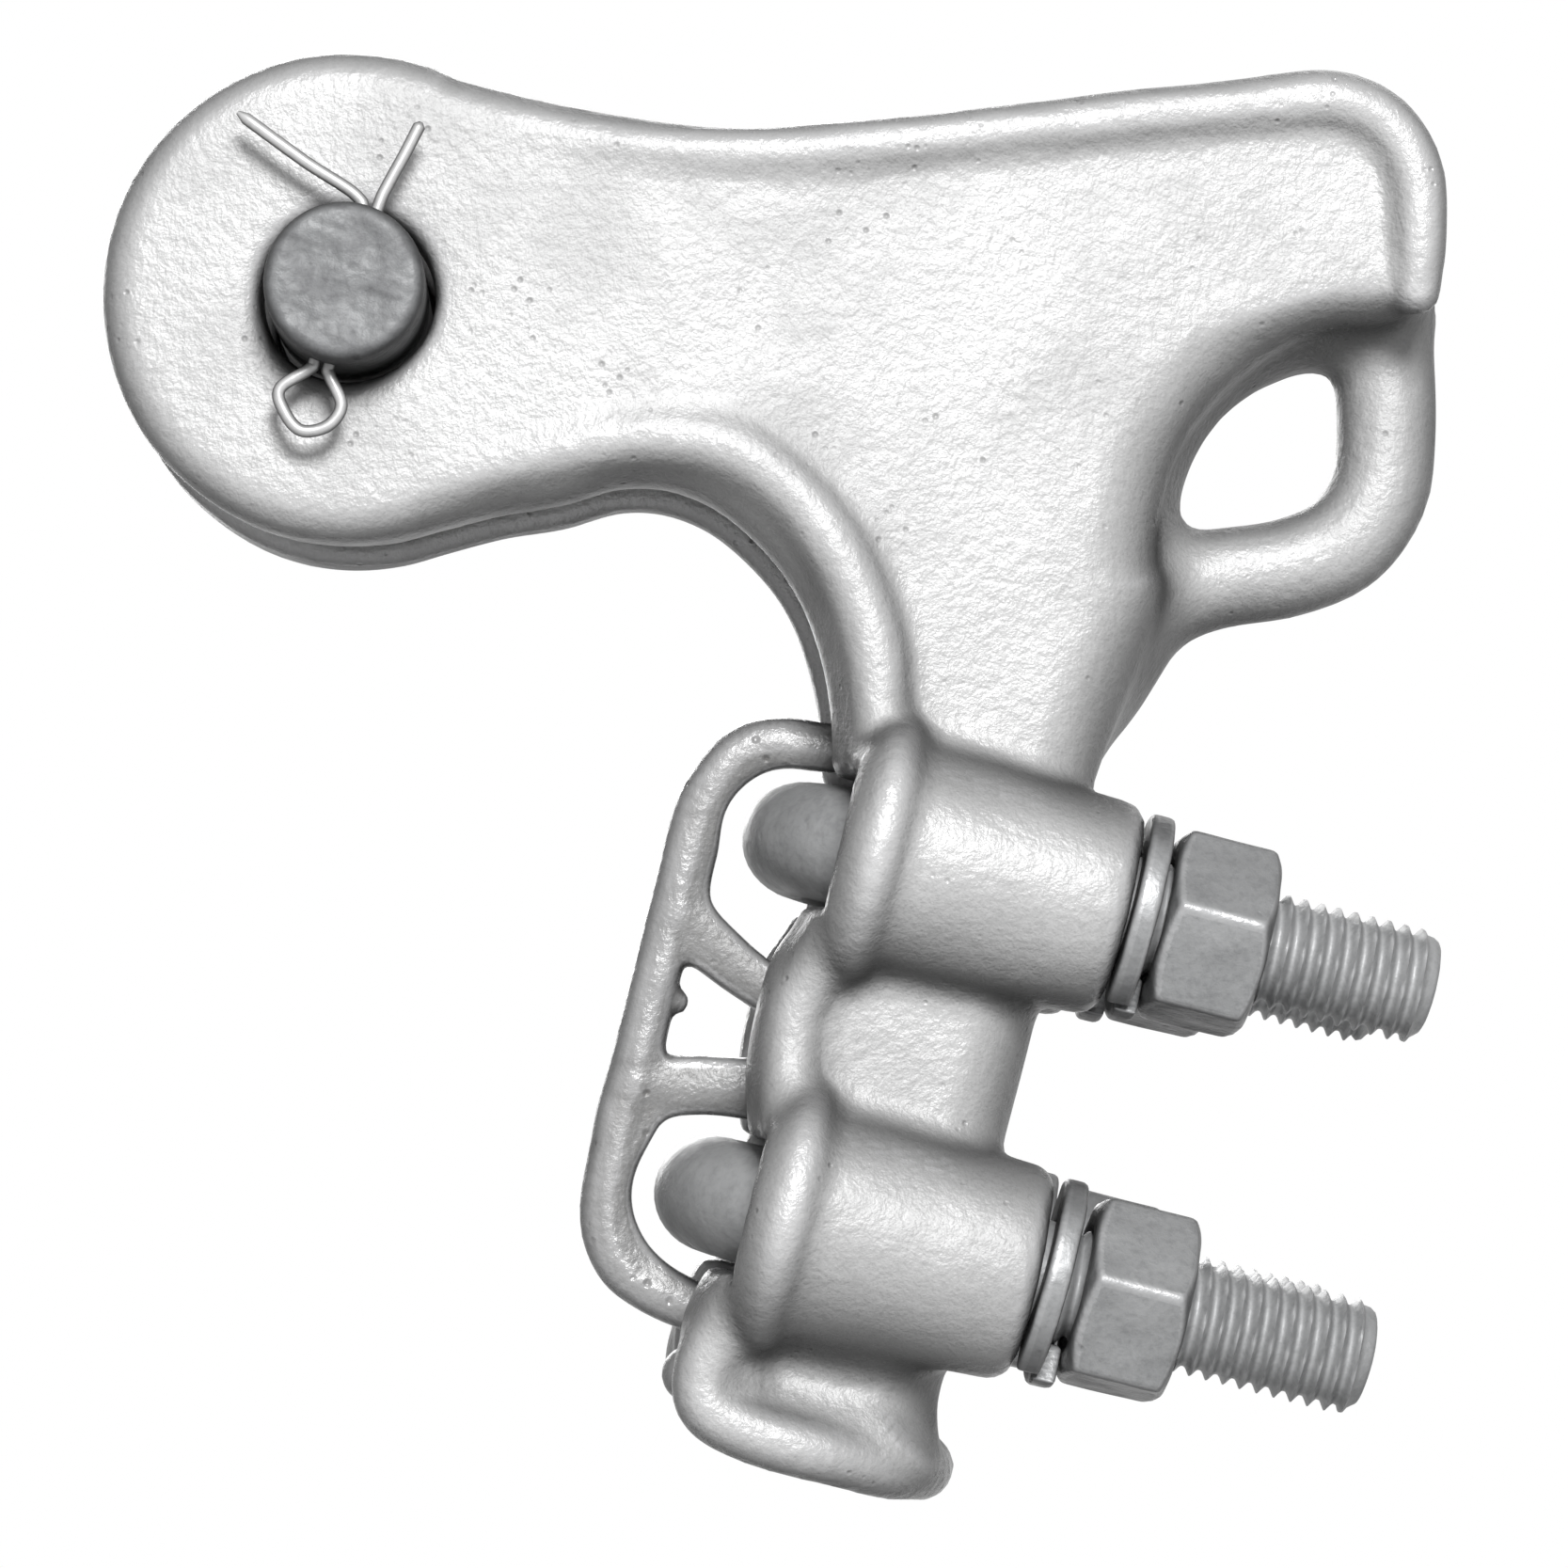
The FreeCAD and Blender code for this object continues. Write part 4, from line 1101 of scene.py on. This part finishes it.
class MetalGroup(NodeTree):
    """A shared shader group that gives weathered metal its colour, with stains, grain, pits, a painted shade
    in hollows and a painted highlight on crests, and its roughness and height.
    """

    def __init__(self) -> None:
        """Makes the group, its named sockets and its nodes."""
        super().__init__(bpy.data.node_groups.new("weathered_metal", "ShaderNodeTree"))
        kinds = {"Colour": "Color", "Shade": "Color"}
        self.sockets("INPUT", kinds | {name: "Float" for name in ("Grain", "Stain", "Roughness", "Worn")})
        self.sockets("OUTPUT", {"Colour": "Color", "Roughness": "Float", "Height": "Float"})
        self.place = self.node("ShaderNodeTexCoord").outputs["Object"]
        self.wire()

    def noise(self, scale: bpy.types.NodeSocket, detail: float, rough: float) -> bpy.types.NodeSocket:
        """Noise over the object at a scale."""
        fed = {"Vector": self.place, "Scale": scale, "Detail": detail, "Roughness": rough}
        return self.node("ShaderNodeTexNoise", fed).outputs[0]

    def spread(self, value: bpy.types.NodeSocket, low: float, high: float) -> bpy.types.NodeSocket:
        """Stretches a value so that low becomes 0 and high becomes 1."""
        fed = {"Value": value, "From Min": low, "From Max": high}
        return self.node("ShaderNodeMapRange", fed, interpolation_type="SMOOTHSTEP").outputs[0]

    def wire(self) -> None:
        """Lays the group out."""
        given = self.node("NodeGroupInput").outputs
        cloud = self.spread(self.noise(given["Stain"], 5.0, 0.6), 0.36, 0.70)
        grain = self.noise(given["Grain"], 3.0, 0.65)
        coarse = self.noise(self.times(given["Grain"], 0.3), 2.0, 0.5)
        fed = {"Vector": self.place, "Scale": self.times(given["Grain"], 0.24)}
        spots = self.node("ShaderNodeTexVoronoi", fed)
        pits = self.math("SUBTRACT", 1.0, self.spread(spots.outputs["Distance"], 0.04, 0.24))
        few = self.spread(self.noise(self.times(given["Stain"], 2.2), 2.0, 0.5), 0.56, 0.66)
        pits = self.times(pits, few)
        edge = self.node("ShaderNodeAttribute", attribute_name="edge").outputs["Fac"]
        # Convex crests get a paler colour, partly rubbed bare metal and partly a painted highlight, and a
        # lower roughness.
        crest_rub_and_highlight = self.times(self.spread(edge, 0.10, 0.5), given["Worn"])
        # Painted shade: concave hollows and creases are mixed towards the darker colour, together with the
        # real stains, pits and grain.
        hollow_shade = self.spread(self.times(edge, -1.0), 0.10, 0.6)
        stain_and_shade = self.math("ADD", self.times(cloud, 0.38), self.times(pits, 0.5))
        stain_and_shade = self.math("ADD", stain_and_shade, self.times(hollow_shade, 0.35))
        stain_and_shade = self.math("ADD", stain_and_shade, self.times(self.spread(grain, 0.42, 0.72), 0.30))
        fed = {0: self.math("MINIMUM", stain_and_shade, 1.0), 6: given["Colour"], 7: given["Shade"]}
        mix = self.node("ShaderNodeMix", fed, data_type="RGBA")
        fed = {0: self.times(crest_rub_and_highlight, 0.5), 6: mix.outputs[2], 7: RUBBED_METAL_HIGHLIGHT}
        with_crest_highlight = self.node("ShaderNodeMix", fed, data_type="RGBA")
        rough = self.math("ADD", given["Roughness"], self.times(self.math("SUBTRACT", cloud, 0.5), 0.16))
        rough = self.math("SUBTRACT", rough, self.times(crest_rub_and_highlight, 0.16))
        height = self.math("ADD", self.times(grain, 0.55), coarse)
        height = self.math("SUBTRACT", height, self.times(pits, 1.1))
        self.node("NodeGroupOutput", {"Colour": with_crest_highlight.outputs[2], "Roughness": rough, "Height": height})


def metal(group: MetalGroup, finish: Finish) -> bpy.types.Material:
    """A weathered metal from the shared group, with a painted shade that darkens it at grazing angles.

    Args:
        group: the shared shader group.
        finish: how the surface looks.

    Returns:
        The material.
    """
    material = bpy.data.materials.new(finish.name)
    material.use_nodes = True
    tree = NodeTree(material.node_tree)
    skin = tree.node("ShaderNodeGroup", node_tree=group.tree)
    tree.fill(skin, {"Colour": (*finish.colour, 1.0), "Shade": (*finish.shade, 1.0), "Grain": finish.grain})
    tree.fill(skin, {"Stain": finish.stain, "Roughness": finish.roughness, "Worn": finish.worn})
    fed = {"Strength": finish.bump, "Distance": BUMP_HEIGHT, "Height": skin.outputs["Height"]}
    bump = tree.node("ShaderNodeBump", fed)
    # Painted shade: Layer Weight facing multiplies the colour darker towards grazing angles, standing in for
    # dark surroundings in the metal.
    facing = tree.node("ShaderNodeLayerWeight", {"Blend": GRAZING_SHADE_BLEND}).outputs["Facing"]
    fed = {0: facing, 6: skin.outputs["Colour"], 7: (finish.rim, finish.rim, finish.rim, 1.0)}
    grazing_shade = tree.node("ShaderNodeMix", fed, data_type="RGBA", blend_type="MULTIPLY")
    tree.fill(material.node_tree.nodes["Principled BSDF"], {
        "Base Color": grazing_shade.outputs[2], "Roughness": skin.outputs["Roughness"],
        "Normal": bump.outputs["Normal"], "Metallic": finish.metallic, "Specular IOR Level": SHINE,
    })
    return material


# ---- camera, light and floor -----------------------------------------------
@dataclass
class Studio:
    """A white studio: camera, soft lamps, floor and surround; the camera's places are in millimetres."""

    eye: tuple[float, float, float] = (22.8, -565.3, -75.1)
    target: tuple[float, float, float] = (43.8, -20.0, -49.2)
    focal_share: float = 3.48
    sensor: float = 36.0
    surround: float = 0.07
    floor_z: float = -0.5
    floor_half: float = 0.5
    floor_fade: tuple[float, float] = (0.62, 0.70)
    floor_glow: float = 0.42
    lamp_aim: tuple[float, float, float] = (0.045, 0.0, -0.05)
    lamps: tuple[Lamp, ...] = (
        ("key", (0.12, -0.82, 0.36), 0.28, 9.0),
        ("rim", (0.3, 0.5, 0.5), 0.4, 0.7),
        ("back", (-0.15, 0.85, 0.22), 0.5, 4.5),
    )

    def camera(self) -> bpy.types.Object:
        """The camera, below and in front of the clamp."""
        data = bpy.data.cameras.new("camera")
        data.sensor_width = self.sensor
        data.lens = self.focal_share * self.sensor
        data.clip_start, data.clip_end = 0.01, 20.0
        camera = bpy.data.objects.new("camera", data)
        camera.location = Vector(self.eye) * MM
        way = (Vector(self.target) - Vector(self.eye)).normalized()
        camera.rotation_mode = "QUATERNION"
        camera.rotation_quaternion = way.to_track_quat("-Z", "Y")
        bpy.context.scene.collection.objects.link(camera)
        bpy.context.scene.camera = camera
        return camera

    def lamp(self, name: str, place: Vector, aim: Vector, size: float, power: float) -> None:
        """One square soft lamp."""
        data = bpy.data.lights.new(name, "AREA")
        data.shape, data.size, data.energy = "SQUARE", size, power
        lamp = bpy.data.objects.new(name, data)
        lamp.location = place
        lamp.rotation_mode = "QUATERNION"
        lamp.rotation_quaternion = (aim - place).normalized().to_track_quat("-Z", "Y")
        bpy.context.scene.collection.objects.link(lamp)

    def white_world(self) -> None:
        """A surround that is white to the camera and in gloss, and lights the part only faintly."""
        world = bpy.data.worlds.new("surround")
        world.use_nodes = True
        world.node_tree.nodes.clear()
        bpy.context.scene.world = world
        tree = NodeTree(world.node_tree)
        white = (1.0, 1.0, 1.0, 1.0)
        show = tree.node("ShaderNodeBackground", {"Color": white})
        light = tree.node("ShaderNodeBackground", {"Color": white, "Strength": self.surround})
        rays = tree.node("ShaderNodeLightPath").outputs
        seen = tree.math("ADD", rays["Is Camera Ray"], rays["Is Glossy Ray"], clamp=True)
        seen = tree.math("ADD", seen, rays["Is Transmission Ray"], clamp=True)
        mix = tree.node("ShaderNodeMixShader", {0: seen, 1: light.outputs[0], 2: show.outputs[0]})
        tree.node("ShaderNodeOutputWorld", {"Surface": mix.outputs[0]})

    def floor(self) -> None:
        """A plain pale floor well under the clamp, that fades out towards its edge."""
        edge, z = self.floor_half, self.floor_z
        verts = np.array([(-edge, -edge, z), (edge, -edge, z), (edge, edge, z), (-edge, edge, z)])
        material = bpy.data.materials.new("floor")
        material.use_nodes = True
        tree = NodeTree(material.node_tree)
        place = tree.node("ShaderNodeTexCoord").outputs["Object"]
        far = tree.node("ShaderNodeVectorMath", {0: place}, operation="LENGTH").outputs["Value"]
        near, end = self.floor_fade
        fed = {"Value": far, "From Min": near, "From Max": end, "To Min": 1.0, "To Max": 0.0}
        fade = tree.node("ShaderNodeMapRange", fed, interpolation_type="SMOOTHSTEP").outputs[0]
        seen = tree.node("ShaderNodeLightPath").outputs["Is Camera Ray"]
        tree.fill(material.node_tree.nodes["Principled BSDF"], {
            "Base Color": (0.85, 0.85, 0.85, 1.0), "Roughness": 0.9, "Alpha": fade,
            "Emission Strength": self.floor_glow, "Emission Color": seen,
        })
        mesh_object("floor", verts, np.array([(0, 1, 2, 3)]), material)

    def build(self) -> None:
        """Makes the camera, lamps, floor and surround."""
        self.camera()
        self.white_world()
        self.floor()
        for name, place, size, power in self.lamps:
            self.lamp(name, Vector(place), Vector(self.lamp_aim), size, power)


def main() -> None:
    """Builds every piece, then the studio."""
    logging.basicConfig(level=logging.INFO, format="%(message)s")
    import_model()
    group = MetalGroup()
    bars = BarTree()
    CastBody().build(metal(group, CAST))
    CastKeeper().build(metal(group, CAST_KEEPER))
    bolt, nut, washer = (metal(group, finish) for finish in (ZINC_BOLT, ZINC_NUT, ZINC_WASHER))
    for row in Row:
        UBolt(row).build(bars, bolt)
        for side in Side:
            Nut(row, side).build(nut)
            SpringWasher(row, side).build(washer)
    pin = ClevisPin()
    pin.build_pin(metal(group, ZINC_PIN))
    pin.build_cotter(bars, metal(group, WIRE))
    Studio().build()
    bpy.context.scene.view_settings.view_transform = "Standard"
    bpy.context.view_layer.update()


if __name__ == "__main__":
    main()
